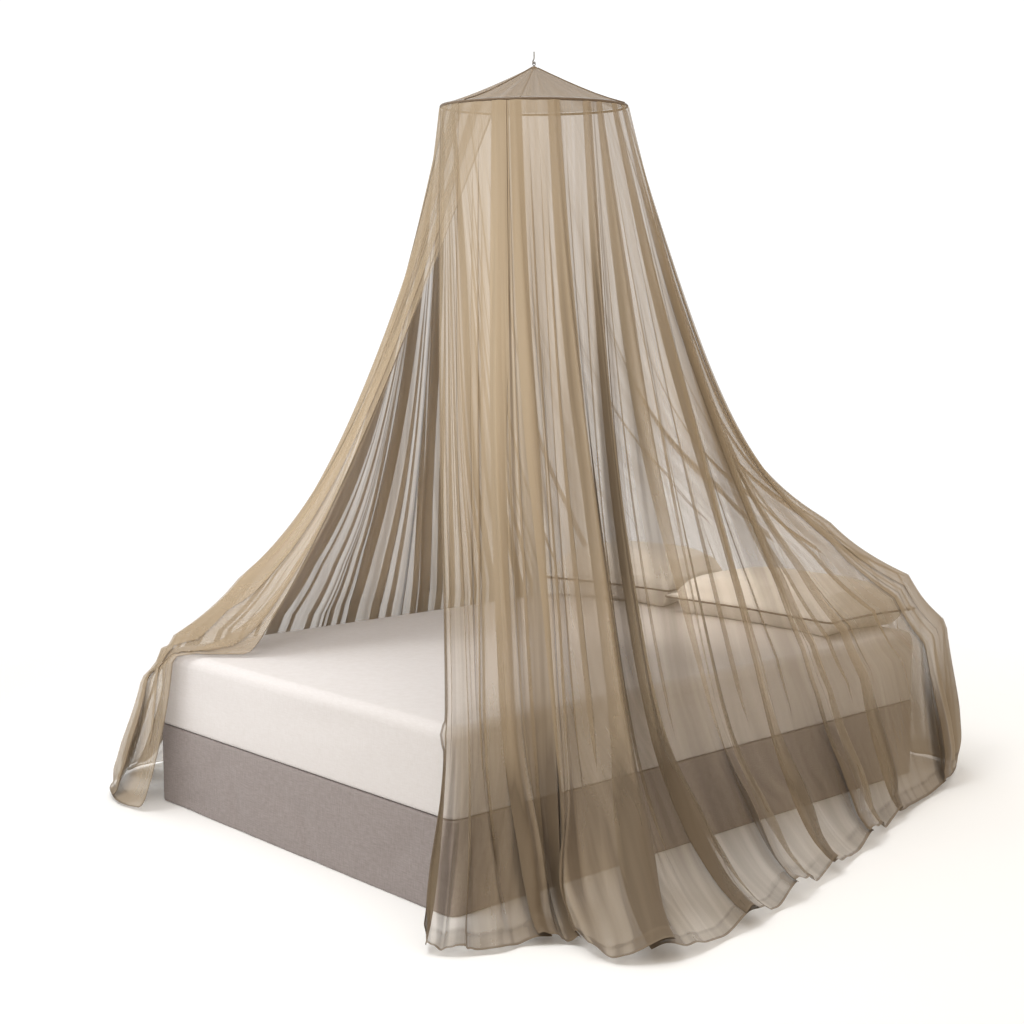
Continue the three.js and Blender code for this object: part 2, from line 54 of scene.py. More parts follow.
# Hoop and crown
HOOP_RADIUS = 283
HOOP_TUBE = 4
HOOP_HEIGHT = 2122
HOOP_TILT_DEG = 3.8
HOOP_LOW_DEG = -133
CROWN_TOP = 2238
CROWN_NECK = 10
CROWN_HOLLOW = 1.2
CROWN_SEAMS_DEG = (-179, -59, 61)
CROWN_SPAN_DEG = 360 / len(CROWN_SEAMS_DEG)
CROWN_RISE = 1.4
PIPING_CLEAR = 2.6
CROWN_COLUMNS = 96
CROWN_ROWS = 40
PUCKER_HEIGHT = 1.6
PUCKER_TURNS = 23
PUCKER_SWELL = 7.3
PUCKER_START_DEG = 40
PUCKER_DENSE = 0.5

# Bed
BED_LENGTH = 2000
BED_WIDTH = 1400
BED_SHIFT = 70
BASE_HEIGHT = 242
TOUCH_GAP = 0.4
MATTRESS_FOOT = BASE_HEIGHT + TOUCH_GAP
MATTRESS_HEIGHT = 232
MATTRESS_TOP = MATTRESS_FOOT + MATTRESS_HEIGHT
MATTRESS_CORNER = 36
MATTRESS_EDGE = 34
MATTRESS_SEAM = 14
BASE_CORNER = 30
BASE_EDGE = 6
SLAB_STEP = 18
EDGE_SEGMENTS = 6
RIM_SLACK = 0.1
TROUGH_AT_ENDS = 0.35
BED_EDGE_GAP = 10
BED_TOP_GAP = 1.7
TOP_TURN = (0.9, 0.99)
FLOOR_GAP = 1.5

# Soft troughs in the sheet and in the base's cover. Columns: first and last point, width, depth
SHEET_TROUGHS = (
    ((-930, -420, 420), (-930, 120, 360), 40, 4),
    ((-930, 200, 330), (-930, 640, 400), 50, 4),
    ((-600, -250, 474), (500, -120, 474), 60, 3),
    ((-300, 250, 474), (600, 360, 474), 70, 3),
    ((-820, 420, 474), (-380, 200, 474), 50, 3),
    ((420, -690, 474), (700, -520, 474), 36, 4),
    ((560, -690, 474), (800, -560, 474), 30, 4),
    ((500, -700, 440), (760, -700, 300), 36, 4),
)
COVER_TROUGHS = (
    ((-930, 640, 50), (-930, 480, 130), 26, 9),
    ((-930, 600, 20), (-930, 380, 60), 28, 9),
    ((-930, 330, 210), (-930, 420, 110), 30, 7),
    ((-930, 240, 20), (-930, 300, 150), 28, 7),
    ((-930, -260, 60), (-930, 80, 150), 34, 7),
    ((-930, -120, 10), (-930, -60, 90), 26, 6),
    ((-930, -560, 170), (-930, -420, 60), 30, 7),
    ((-700, -700, 190), (-480, -700, 60), 34, 4),
    ((-100, -700, 180), (260, -700, 90), 40, 4),
)

# Pillows. Columns: node, middle x and y, width, length, seam's height, turn in degrees
PILLOWS = (
    ("pillow_near", 928, -280, 470, 740, 58, -2),
    ("pillow_far", 925, 414, 440, 580, 70, 8),
)
PILLOW_PINCH = 0.11
PILLOW_END_PINCH = 0.077
PILLOW_START = (0.97, 0.97, 0.93)
PILLOW_VOXEL = 7
PILLOW_CAP = 9
PILLOW_SLACK = 0.03
PILLOW_PRESSURE = 4
PILLOW_FRAMES = 20
PILLOW_CLEAR = 1
MERGE_DISTANCE = 0.0001
PIPING_RADIUS = 3.2
PIPING_POINTS = 240
PIPING_SQUARE = 0.1

# Light: the way that the bright side lies, how far round it reaches, the strength and tint of the dark
# side, and the strength and colour of the bright one. Columns of the lamps: name, place, aim and size in
# metres, spread in degrees, power, tint
LIGHT_SIDE = (0.1, 0.97, 0.2)
LIGHT_TURN = (-0.6, 0.15)
DARK_SIDE = 0.72
DARK_TINT = "#ffedd6"
BRIGHT_SIDE = 1.08
BRIGHT_TINT = "#ffffff"
LAMPS = (
    ("key light", (-2.4, -0.2, 2.4), (-0.5, 0.0, -1.8), 1.6, 60, 10.5, "#ffffff"),
    ("doorway light", (-3.0, -1.4, -0.2), (-0.5, 0.6, -1.2), 1.0, 36, 4.6, "#f4f8ff"),
    ("top light", (-0.3, 0.3, 2.6), (0, 0, -1.8), 3.0, 180, 21, "#ffffff"),
    ("scattered light", (0.15, -0.05, -0.8), (0.75, -0.1, -1.8), 0.24, 70, 1.12, "#fff2e2"),
)

# The floor, in metres: plain near the bed, and fading out further away
FLOOR_SIZE = 20
FLOOR_PLAIN = 2.2
FLOOR_END = 4.5

# Each drop is one line of the net from the hoop, over its knee beside the bed's edge, to its hem.
# Columns: angle on the hoop, straight share, swing's power, knee x, y and z, hem x and y.
HOOP, STRAIGHT, SWING, KNEE_X, KNEE_Y, KNEE_Z, HEM_X, HEM_Y = range(8)
DROPS = np.array([
    (-208, 0.76, 4.5, -936, -690, 480, -1115, -800),
    (-190, 0.74, 4.5, -918, -720, 480, -1090, -870),
    (-172, 0.72, 4.5, -882, -728, 480, -990, -935),
    (-158, 0.70, 4.5, -842, -730, 480, -905, -950),
    (-145, 0.84, 4.5, -672, -734, 478, -825, -1030),
    (-131, 0.74, 4.5, -568, -742, 475, -835, -1170),
    (-118, 0.70, 4.5, -432, -756, 470, -690, -1245),
    (-100, 0.68, 4.5, -350, -772, 465, -410, -1220),
    (-90, 0.92, 4.5, -135, -778, 465, -170, -1180),
    (-78, 0.92, 4.5, 75, -775, 466, 40, -1130),
    (-64, 0.74, 4.5, 345, -765, 475, 345, -1045),
    (-45, 0.53, 5.5, 710, -745, 510, 665, -945),
    (-30, 0.49, 6.5, 1020, -730, 574, 1018, -858),
    (-14, 0.48, 8, 1200, -668, 610, 1230, -722),
    (10, 0.46, 7, 1202, -400, 655, 1252, -400),
    (35, 0.47, 6, 1202, -50, 680, 1252, -50),
    (58, 0.48, 5, 1200, 350, 730, 1250, 360),
    (78, 0.52, 4.5, 1165, 720, 640, 1220, 820),
    (98, 0.60, 4.5, 820, 752, 490, 860, 1000),
    (118, 0.64, 4.5, 400, 765, 470, 450, 1080),
    (138, 0.66, 5, -20, 768, 470, 0, 1100),
    (155, 0.66, 6, -420, 754, 474, -420, 1090),
    (172, 0.66, 8, -795, 732, 477, -800, 1060),
    (186, 0.62, 8, -925, 714, 481, -980, 900),
    (196, 0.68, 8, -958, 640, 475.8, -1050, 755),
    (205, 0.83, 8, -962, 535, 475.2, -1040, 630),
])
FIRST_DEG = DROPS[0, HOOP]
LAST_DEG = DROPS[-1, HOOP]
STEP_DEG = 0.5
STEP_FALL = 0.03

# Each pleat is a flat knife pleat that hangs down from the hoop as a dense band of three layers,
# on a soft fold of the net. Columns: angle, strip's width at the hoop, depth of the soft fold and of
# the smaller one beside it, band's width at the hoop and at the bed, fall where it opens, side, how
# full the net is at the hoop and at the bed, and share of the fold.
ANGLE, STRIP, DEEP, MINOR, BAND_AT_HOOP, BAND_AT_BED = range(6)
OPENS, SIDE, FULL_AT_HOOP, FULL_AT_BED, FOLD_SHARE = range(6, 11)
PLEATS = (
    (-202, 14, 14, 6, 16, 8, 1.6, 1, 0.7, 0.55, 0.3),
    (-183, 26, 20, 10, 80, 10, 1.2, -1, 1, 0.6, 0.3),
    (-154, 22, 30, 12, 60, 50, 1.2, 1, 2.4, 1.2, 1),
    (-144, 18, 46, 22, 34, 30, 1.1, 1, 2.4, 1.3, 1),
    (-122, 32, 78, 34, 36, 52, 1.3, -1, 1.6, 0.8, 1),
    (-101, 30, 70, 20, 30, 26, 1.5, 1, 1.3, 0.6, 1),
    (-92, 18, 84, 38, 22, 24, 1.4, 1, 1.3, 0.5, 1),
    (-78, 24, 62, 26, 26, 28, 1.2, -1, 1.3, 0.55, 1),
    (-66, 30, 74, 40, 30, 28, 1.3, 1, 1.15, 0.62, 1),
    (-50, 34, 42, 20, 26, 34, 1.1, -1, 0.85, 0.75, 1),
    (-33, 22, 36, 18, 18, 30, 1.0, 1, 0.85, 1.3, 1),
    (-16, 28, 20, 10, 14, 26, 1.0, -1, 0.95, 1.7, 0.8),
    (2, 24, 24, 14, 10, 22, 1.1, 1, 0.8, 1.9, 0.12),
    (20, 30, 28, 14, 8, 24, 1.0, 1, 0.75, 1.2, 0.12),
    (38, 22, 54, 28, 10, 24, 1.2, -1, 0.7, 0.8, 0.12),
    (56, 28, 46, 20, 8, 26, 1.0, 1, 0.7, 0.65, 0.12),
    (74, 24, 58, 22, 12, 40, 1.1, -1, 0.8, 0.75, 0.12),
    (92, 32, 64, 34, 16, 40, 1.0, 1, 1, 1.3, 0.6),
    (109, 22, 70, 26, 22, 40, 1.2, 1, 1.6, 2.2, 1),
    (126, 28, 58, 36, 30, 50, 1.0, -1, 1.6, 2.3, 1),
    (142, 24, 48, 20, 36, 46, 1.1, 1, 1.6, 2.2, 1),
    (157, 30, 26, 14, 50, 50, 1.0, -1, 1.4, 1.9, 1),
    (174, 26, 16, 9, 60, 80, 1.2, 1, 1.1, 1.2, 1),
    (191, 20, 12, 6, 40, 60, 1.4, -1, 1, 1.2, 1),
)
ALL_PLEATS = np.array(PLEATS)

# Thin tucks in the spans between the pleats. Columns: number of the pleat, place across its cell
# from -1 to 1, half width there, the falls between which it shows, side.
TUCKS = (
    (0, 0.80, 0.05, 0.2, 1.2, -1), (1, -0.79, 0.03, 0.1, 0.9, 1), (1, 0.90, 0.02, 0.0, 1.1, 1),
    (2, -0.92, 0.03, 0.0, 1.24, -1), (2, -0.81, 0.04, 0.1, 1.6, 1), (2, 0.82, 0.06, 0.0, 1.6, 1),
    (3, -0.84, 0.05, 0.0, 1.6, -1), (3, 0.73, 0.02, 0.1, 1.22, 1), (3, 0.83, 0.035, 0.0, 1.22, -1),
    (3, 0.93, 0.02, 0.3, 1.22, 1), (4, -0.91, 0.025, 0.0, 1.28, 1), (4, -0.78, 0.03, 0.1, 1.28, -1),
    (4, 0.79, 0.035, 0.0, 1.24, 1), (4, 0.92, 0.03, 0.4, 1.24, 1), (5, -0.85, 0.04, 0.1, 1.6, 1),
    (5, 0.81, 0.04, 0.0, 1.6, -1), (6, -0.88, 0.03, 0.1, 1.22, 1), (6, 0.76, 0.02, 0.0, 1.18, -1),
    (6, 0.90, 0.04, 0.2, 1.6, 1), (7, -0.81, 0.035, 0.1, 1.24, 1), (7, 0.86, 0.03, 0.0, 1.2, -1),
    (8, -0.82, 0.02, 0.0, 1.26, 1), (8, 0.85, 0.03, 0.3, 1.22, -1), (9, -0.79, 0.02, 0.2, 1.28, -1),
    (9, 0.80, 0.02, 0.0, 1.24, 1), (10, -0.84, 0.025, 0.0, 1.2, -1), (10, 0.77, 0.025, 0.0, 1.16, 1),
    (11, -0.88, 0.03, 0.1, 1.22, 1), (11, 0.83, 0.03, 0.2, 1.18, 1), (17, -0.90, 0.04, 0.0, 2.0, -1),
    (17, 0.88, 0.05, 0.0, 2.0, 1), (18, -0.93, 0.04, 0.0, 2.0, 1), (18, -0.82, 0.05, 0.1, 1.6, -1),
    (18, -0.72, 0.03, 0.2, 1.4, 1), (18, 0.75, 0.05, 0.0, 1.6, -1), (18, 0.86, 0.04, 0.2, 2.0, 1),
    (18, 0.95, 0.03, 0.0, 1.5, 1), (19, -0.94, 0.03, 0.0, 1.6, -1), (19, -0.84, 0.05, 0.1, 2.0, 1),
    (19, -0.74, 0.04, 0.0, 1.5, 1), (19, 0.76, 0.05, 0.1, 2.0, -1), (19, 0.88, 0.05, 0.0, 1.6, 1),
    (20, -0.92, 0.05, 0.0, 2.0, 1), (20, -0.79, 0.05, 0.2, 1.6, -1), (20, 0.74, 0.04, 0.1, 1.5, -1),
    (20, 0.85, 0.05, 0.0, 2.0, 1), (20, 0.95, 0.03, 0.2, 1.4, 1), (21, -0.90, 0.04, 0.1, 2.0, -1),
    (21, -0.75, 0.03, 0.0, 1.5, 1), (21, 0.78, 0.03, 0.2, 1.8, 1), (21, 0.91, 0.05, 0.0, 2.0, 1),
    (22, -0.92, 0.05, 0.0, 1.7, 1), (22, -0.80, 0.05, 0.0, 2.0, -1), (22, 0.76, 0.05, 0.1, 2.0, -1),
    (22, 0.89, 0.06, 0.0, 1.6, 1), (23, -0.90, 0.06, 0.0, 1.6, 1), (23, -0.77, 0.05, 0.1, 1.8, -1),
    (23, 0.78, 0.05, 0.1, 1.5, -1),
)
TUCK_FOLD = 1.25
TUCK_STACK = 3
TUCK_FADE = 0.25
TUCK_REACH = 2.4

# The net's gores, each with three pleats. Columns: name, greatest flat width, length, flat area in m2.
GORES = (
    ("net_gore_near_flap", 0.66, 2.50, 1.10),
    ("net_gore_near_foot", 1.20, 2.47, 2.22),
    ("net_gore_near_middle", 1.30, 2.40, 2.29),
    ("net_gore_near_head", 1.24, 2.55, 1.90),
    ("net_gore_head", 0.95, 2.54, 1.43),
    ("net_gore_far_head", 1.41, 2.61, 2.14),
    ("net_gore_far_foot", 2.29, 2.48, 3.32),
    ("net_gore_far_flap", 1.90, 2.52, 2.75),
)
PLEATS_PER_GORE = 3
SPAN_COLUMNS = 12
BAND_COLUMNS = 40
TUCK_COLUMNS = 14
TUCK_MARGIN = 1.1
ROWS_ABOVE_KNEE = 58
ROWS_BELOW_KNEE = 42
ROW_CROWDING = 1.25
HEM_ROWS = (0.082, 0.074, 0.068, 0.062, 0.05, 0.03, 0.014, 0.009, 0.005)

# How the net swings out to its knee, how soft its bend is there, and how it spreads on the floor
KNEE_SOFT = 0.13
LIE_SHARE = 0.14
LIE_CRISP = 0.85
LIE_START_DEG = 190
LIE_FULL_DEG = 204
TOE_SHARE = 0.3
TOE_HEIGHT = 30
HEM_HEIGHT = 2.5
HANG_GAP = 0.8
STRIP_REACH = 2 / 3
RIDGE_WIDTH = 0.42
MINOR_PLACE = 0.62
MINOR_WIDTH = 0.2
DEPTH_AT_HOOP = 0.06
DEPTH_AT_HEM = 0.5
FAN_END = 1.1
DEPTH_FULL = 0.9
LAID_START = 1.4
FLAP_PART_AT_HOOP = 4
NEAR_FLAP_PART = 8
FAR_FLAP_PART = 40
FLAP_END = 0.8
FAR_FLAP_START_DEG = 134
FAR_FLAP_FULL_DEG = 152
FAR_PART_START_DEG = 150
FAR_PART_FULL_DEG = 182
NEAR_FLAP_START_DEG = -132
NEAR_FLAP_FULL_DEG = -152

# The knife pleats' fold and how far their layers lie apart. Falls run from 0 at the hoop over 1 at the
# knee to 2 at the hem, and a pair of them is where something starts and where it is full.
FOLD_FULL = 1.45
FOLD_AT_HEM = 0.9
OPENS_BEFORE = 0.3
OPENS_AFTER = 0.9
STACK_AT_HOOP = 1.2
STACK_BELOW = 4
STACK_IN_PIPES = 24
LAYER_FADE = 0.2
LIFT_SOFT = 20
RESTING_SHARE = 0.4
BAND_LIMIT = 0.8
BAND_BELOW = 1.8
BAND_BELOW_FALLS = (1, 1.7)

# Below the bed's edge the pleats open into pipes, denser than the net between them and darker with
# painted shade.
# The near side is darker there with painted shade, and the far side's pipes show less.
PIPE_FALLS = (0.98, 1.5)
PIPE_END_FALLS = (1.6, 2)
PIPE_AT_HEM = 0.3
PIPE_EDGE = (-0.05, 0.12)
PIPE_DENSE_AND_SHADE_FALLS = (1, 1.5)
PIPE_YARN = 0.9
PIPE_PAINTED_SHADE = 2
FAR_PIPES = 0.25
NEAR_SIDE = 500
LOWER_PAINTED_SHADE = 0.6
LOWER_PAINTED_SHADE_FALLS = (0.95, 1.5)
LOWER_YARN = 0.5
LOWER_YARN_FALLS = (1.2, 1.6)
FULL_FALLS = (0.3, 1.1)

# Fine creases that run down the net. Columns: waves in a cell, height in mm, phase, drift along the fall
CREASES = (
    (1.6, 3.0, 0.4, 0.5),
    (2.7, 2.4, 2.1, -0.4),
    (4.3, 2.0, 4.0, 0.7),
    (6.1, 1.4, 1.2, -0.9),
)
CREASE_AT_HOOP = 0.25
CREASE_SWELL = 0.45
CREASE_SWELL_RATE = 0.37
CREASE_SWELL_DRIFT = 1.7

# The pleats sway a little to each side on their way down
WOBBLE_SHARE = 0.07
WOBBLE_WAVES = 2.3
WOBBLE_STEP = 1.7
WOBBLE_FALLS = (0.1, 0.7)

# Rolled edges, hem and seams: widths in metres, and how much denser the net is in each
HEM_WIDTH = 0.045
HEM_FADE = 0.004
HEM_STITCH = 0.006
ROLLED_EDGE = 0.006
ROLL_FADE = 0.002
HEM_ROLL_FADE = 0.003
SEAM_EDGE = 0.004
THREAD_WIDTH = 0.001
HEM_DENSE = 0.25
STITCH_DENSE = 0.5
HEM_ROLL_DENSE = 2.2
EDGE_ROLL_DENSE = 2.4
SEAM_DENSE = 0.7
STEEPEST = 0.28

# The near flap's rounded lower corner
CORNER_START = 1.6
CORNER_CUT = 0.2
CORNER_REACH = 0.6


def smoothstep(x, low, high):
    t = np.clip((x - low) / (high - low), 0, 1)
    return t * t * (3 - 2 * t)


def lerp(a, b, t):
    return a + (b - a) * t


def to_frame(points):
    """Millimetres above the floor to metres from the hook's top."""
    return (points - np.array((0, 0, HOOK_TOP))) * MM


def unit(vectors):
    return vectors / np.maximum(np.linalg.norm(vectors, axis=-1, keepdims=True), 1e-9)


def stacked(x, y, z):
    return np.stack(np.broadcast_arrays(x, y, z), -1)


# The net's smooth surface

def drop_value(column, deg):
    hoop, value = DROPS[:, HOOP], DROPS[:, column]
    last = len(hoop) - 1
    i = np.minimum(np.searchsorted(hoop[1:], deg, side="left"), last - 1)

    def slope(k):
        before, after = np.maximum(k - 1, 0), np.minimum(k + 1, last)
        return (value[after] - value[before]) / (hoop[after] - hoop[before])

    span = hoop[i + 1] - hoop[i]
    s = (deg - hoop[i]) / span
    rise = (3 - 2 * s) * s * s
    return (
        (1 - rise) * value[i] + rise * value[i + 1]
        + span * (s * (1 - s) ** 2 * slope(i) - s * s * (1 - s) * slope(i + 1))
    )


def hoop_point(deg, radius, rise):
    low, turn = math.radians(HOOP_LOW_DEG), np.radians(deg)
    tilt = Matrix.Rotation(math.radians(HOOP_TILT_DEG), 3, Vector((-math.sin(low), math.cos(low), 0)))
    flat = stacked(radius * np.cos(turn), radius * np.sin(turn), rise)
    return flat @ np.array(tilt).T + np.array((0, 0, HOOP_HEIGHT))


def flap_side(deg):
    near = smoothstep(-deg, -NEAR_FLAP_START_DEG, -NEAR_FLAP_FULL_DEG)
    return near - smoothstep(deg, FAR_FLAP_START_DEG, FAR_FLAP_FULL_DEG)


def lie_at(deg):
    return smoothstep(deg, LIE_START_DEG, LIE_FULL_DEG)


def hanging_line(deg, fall):
    part = flap_side(deg)
    top = hoop_point(deg, HOOP_RADIUS + part * FLAP_PART_AT_HOOP, -HOOP_TUBE - HANG_GAP)
    knee = stacked(drop_value(KNEE_X, deg), drop_value(KNEE_Y, deg), drop_value(KNEE_Z, deg))
    hem = stacked(drop_value(HEM_X, deg), drop_value(HEM_Y, deg), HEM_HEIGHT)
    toe = lerp(knee, hem, TOE_SHARE)
    toe[..., 2] = TOE_HEIGHT
    t = np.clip(fall - 1, 0, 1)[..., None]
    below = (1 - t) ** 2 * knee + 2 * t * (1 - t) * toe + t * t * hem
    f = np.minimum(fall, 1)
    straight = drop_value(STRAIGHT, deg)
    swing = straight * f + (1 - straight) * f ** drop_value(SWING, deg)
    sink = np.minimum(f / (1 - LIE_SHARE * lie_at(deg)), 1)
    above = lerp(top, knee, stacked(swing, swing, sink))
    far_part = FAR_FLAP_PART * smoothstep(deg, FAR_PART_START_DEG, FAR_PART_FULL_DEG)
    parting = NEAR_FLAP_PART * np.maximum(part, 0) - far_part
    parting = parting * np.sin(np.pi * np.minimum(f / FLAP_END, 1))
    above = above + parting[..., None] * stacked(np.cos(np.radians(deg)), np.sin(np.radians(deg)), 0)
    return np.where((fall > 1)[..., None], below, above)


def smooth_net(deg, fall):
    soft = np.minimum(KNEE_SOFT * (1 - LIE_CRISP * lie_at(deg)), np.minimum(fall, 2 - fall))
    beside = hanging_line(deg, fall - soft) + hanging_line(deg, fall + soft)
    return lerp(hanging_line(deg, fall), beside / 2, 0.5)


def smooth_normal(deg, fall):
    left = smooth_net(np.maximum(deg - STEP_DEG, FIRST_DEG), fall)
    right = smooth_net(np.minimum(deg + STEP_DEG, LAST_DEG), fall)
    above = smooth_net(deg, np.maximum(fall - STEP_FALL, 0))
    below = smooth_net(deg, np.minimum(fall + STEP_FALL, 2))
    return unit(np.cross(below - above, right - left))


def clear_of_bed(points):
    """Moves points off the bed, taken as a box with rounded edges."""
    half = np.array((BED_LENGTH / 2, BED_WIDTH / 2, MATTRESS_TOP / 2))
    middle = np.array((BED_SHIFT, 0, MATTRESS_TOP / 2))
    core = half - MATTRESS_EDGE
    local = points - middle
    nearest = np.clip(local, -core, core)
    reach = local - nearest
    inside = (reach == 0).all(-1, keepdims=True)
    depth = core - np.abs(local)
    depth[..., 2] = core[2] - local[..., 2]
    way = np.eye(3)[depth.argmin(-1)] * np.where(local < 0, -1, 1)
    way[..., 2] = np.abs(way[..., 2])
    nearest = nearest + np.where(inside, way * depth.min(-1)[..., None], 0)
    reach = np.where(inside, way, reach)
    length = np.linalg.norm(reach, axis=-1, keepdims=True)
    on_top = smoothstep(reach[..., 2:] / length, *TOP_TURN)
    least = MATTRESS_EDGE + lerp(BED_EDGE_GAP, BED_TOP_GAP, on_top)
    return middle + nearest + reach / length * np.maximum(length, least)


# The net's folds

def cell_of(index):
    pleat = PLEATS[index]
    before = (PLEATS[index - 1][ANGLE] + pleat[ANGLE]) / 2 if index else FIRST_DEG
    after = (PLEATS[index + 1][ANGLE] + pleat[ANGLE]) / 2 if index + 1 < len(PLEATS) else LAST_DEG
    return before, after


def soft_fold(pleat, side, offset, fall):
    """Depth of the solid's own fold at an angle from the pleat's middle."""
    strip_deg = np.minimum(np.degrees(pleat[STRIP] / 2 / HOOP_RADIUS), side * STRIP_REACH)
    fan = smoothstep(fall, 0, FAN_END)
    knot = lerp(strip_deg, side * STRIP_REACH, fan)
    reach = np.abs(offset)
    outer = STRIP_REACH + (1 - STRIP_REACH) * (reach - knot) / np.maximum(side - knot, 1e-6)
    across = np.sign(offset) * np.where(reach < knot, STRIP_REACH * reach / knot, outer)
    shape = pleat[DEEP] * np.exp(-((across / RIDGE_WIDTH) ** 2))
    shape = shape + pleat[MINOR] * np.exp(-(((across - MINOR_PLACE) / MINOR_WIDTH) ** 2))
    grown = lerp(DEPTH_AT_HOOP, 1, smoothstep(fall, 0, DEPTH_FULL))
    return shape * grown * lerp(1, DEPTH_AT_HEM, smoothstep(fall, LAID_START, 2))


def creases(cloth, fall):
    """Fine creases, as heights above the soft folds. cloth counts cells along the net."""
    total = 0
    for waves, height, phase, drift in CREASES:
        swelling = np.sin(cloth * waves * CREASE_SWELL_RATE + phase * 2 + fall * CREASE_SWELL_DRIFT)
        ripple = 0.5 + 0.5 * np.sin(2 * np.pi * waves * cloth + phase + drift * fall)
        total = total + height * (1 + CREASE_SWELL * (swelling - 1)) * ripple ** 2
    return total * lerp(CREASE_AT_HOOP, 1, smoothstep(fall, 0, DEPTH_FULL))


def knee_rate(deg):
    """Millimetres along the bed's edge for each degree on the hoop."""
    run = [
        drop_value(column, deg + STEP_DEG) - drop_value(column, deg - STEP_DEG)
        for column in (KNEE_X, KNEE_Y)
    ]
    return np.linalg.norm(run) / (2 * STEP_DEG)


def tucked(number, across, rate, fall):
    """Shift in degrees and height that the thin tucks give, where a span holds rate degrees a unit."""
    shift = np.zeros_like(fall)
    height = np.zeros_like(fall)
    for pleat, place, half, start, end, side in TUCKS:
        if pleat == number:
            u = (across - place) / half
            grown = smoothstep(fall, start, start + TUCK_FADE)
            grown = grown * (1 - smoothstep(fall, end - TUCK_FADE, end))
            near = np.clip(1 - u * u, 0, 1)
            shift -= grown * rate * half * TUCK_FOLD * np.sin(np.pi * u) * near
            step = np.sin(np.pi / 2 * np.clip(u, -1, 1)) * smoothstep(np.abs(u), TUCK_REACH, 1)
            height += grown * side * step
    return shift, height


def net_surface(gore, across_gore, fall):
    """One gore's points, facing, fullness of yarn and painted shade in its pipes and low on the near
    side. across_gore runs from 0 to 3.
    """
    index = np.minimum(np.floor(across_gore), PLEATS_PER_GORE - 1).astype(int)
    deg = np.zeros_like(fall)
    depth = np.zeros_like(fall)
    stack = np.zeros_like(fall)
    yarn = np.zeros_like(fall)
    pipes = np.zeros_like(fall)
    for k in range(PLEATS_PER_GORE):
        number = gore * PLEATS_PER_GORE + k
        pleat = PLEATS[number]
        before, after = cell_of(number)
        at = index == k
        across = 2 * (across_gore[at] - k) - 1
        f = fall[at]
        side = np.where(across < 0, pleat[ANGLE] - before, after - pleat[ANGLE])
        most = side * BAND_LIMIT
        hoop_deg = np.minimum(np.degrees(pleat[BAND_AT_HOOP] / 2 / HOOP_RADIUS), most)
        bed_deg = np.minimum(pleat[BAND_AT_BED] / 2 / knee_rate(pleat[ANGLE]), most)
        band = lerp(hoop_deg, bed_deg, smoothstep(f, 0, FAN_END))
        band = np.minimum(band * lerp(1, BAND_BELOW, smoothstep(f, *BAND_BELOW_FALLS)), most)
        reach = np.abs(across)
        opening = smoothstep(f, pleat[OPENS] - OPENS_BEFORE, pleat[OPENS] + OPENS_AFTER)
        fold = lerp(FOLD_FULL, FOLD_AT_HEM, opening) * pleat[FOLD_SHARE]
        u = np.clip(across / STRIP_REACH, -1, 1)
        folded = band * (u - fold * np.sin(np.pi * u))
        rate = (side - band) / (1 - STRIP_REACH)
        shift, height = tucked(number, across, rate, f)
        spread = np.sign(across) * (band + rate * (reach - STRIP_REACH)) + shift
        offset = np.where(reach < STRIP_REACH, folded, spread)
        sway = np.sin(WOBBLE_WAVES * f + WOBBLE_STEP * number) * smoothstep(f, *WOBBLE_FALLS)
        offset = offset + WOBBLE_SHARE * side * sway * (1 - reach)
        deg[at] = np.clip(pleat[ANGLE] + offset, FIRST_DEG, LAST_DEG)
        depth[at] = soft_fold(pleat, side, offset, f)
        layer = 0.5 + 0.5 * pleat[SIDE] * np.sin(np.pi * u / 2) * smoothstep(1 - reach, 0, LAYER_FADE)
        apart = lerp(STACK_AT_HOOP, STACK_BELOW, smoothstep(f, 0, DEPTH_FULL))
        pipe = lerp(apart, STACK_IN_PIPES, smoothstep(f, *PIPE_FALLS))
        pipe = pipe * lerp(1, PIPE_AT_HEM, smoothstep(f, *PIPE_END_FALLS))
        stack[at] = 2 * pipe * layer + TUCK_STACK * apart / STACK_BELOW * (1 + height)
        beside = np.clip(number + np.sign(across).astype(int), 0, len(PLEATS) - 1)
        full = [
            lerp(pleat[column], ALL_PLEATS[beside, column], reach / 2)
            for column in (FULL_AT_HOOP, FULL_AT_BED)
        ]
        yarn[at] = lerp(*full, smoothstep(f, *FULL_FALLS))
        in_band = smoothstep(STRIP_REACH - reach, *PIPE_EDGE)
        pipes[at] = pleat[FOLD_SHARE] * in_band * smoothstep(f, *PIPE_DENSE_AND_SHADE_FALLS)
    near_side = smoothstep(-drop_value(KNEE_Y, deg), 0, NEAR_SIDE)
    pipes *= lerp(FAR_PIPES, 1, near_side)
    # Painted shade: the net's colour is darkened in the pipes and low on the near side, where it lies in
    # shade.
    dark = 1 + PIPE_PAINTED_SHADE * pipes + LOWER_PAINTED_SHADE * near_side * smoothstep(fall, *LOWER_PAINTED_SHADE_FALLS)
    yarn *= 1 + PIPE_YARN * pipes
    yarn *= 1 + LOWER_YARN * near_side * smoothstep(fall, *LOWER_YARN_FALLS)
    normal = smooth_normal(deg, fall)
    base = smooth_net(deg, fall) + normal * depth[..., None]
    clear = clear_of_bed(base)
    lift = clear - base
    weight = smoothstep(np.linalg.norm(lift, axis=-1), 0, LIFT_SOFT)[..., None]
    facing = unit(lerp(normal, unit(lift), weight))
    cloth = gore * PLEATS_PER_GORE + across_gore
    out = (stack + creases(cloth, fall)) * lerp(1, RESTING_SHARE, weight[..., 0])
    points = clear + facing * out[..., None]
    points[..., 2] = np.maximum(points[..., 2], FLOOR_GAP)
    return points, facing, yarn, dark


# Materials

def linear(hex_colour):
    """An sRGB hex colour as linear RGBA."""
    channels = [int(hex_colour[i:i + 2], 16) / 255 for i in (1, 3, 5)]
    return (*[c / 12.92 if c <= 0.04045 else ((c + 0.055) / 1.055) ** 2.4 for c in channels], 1)


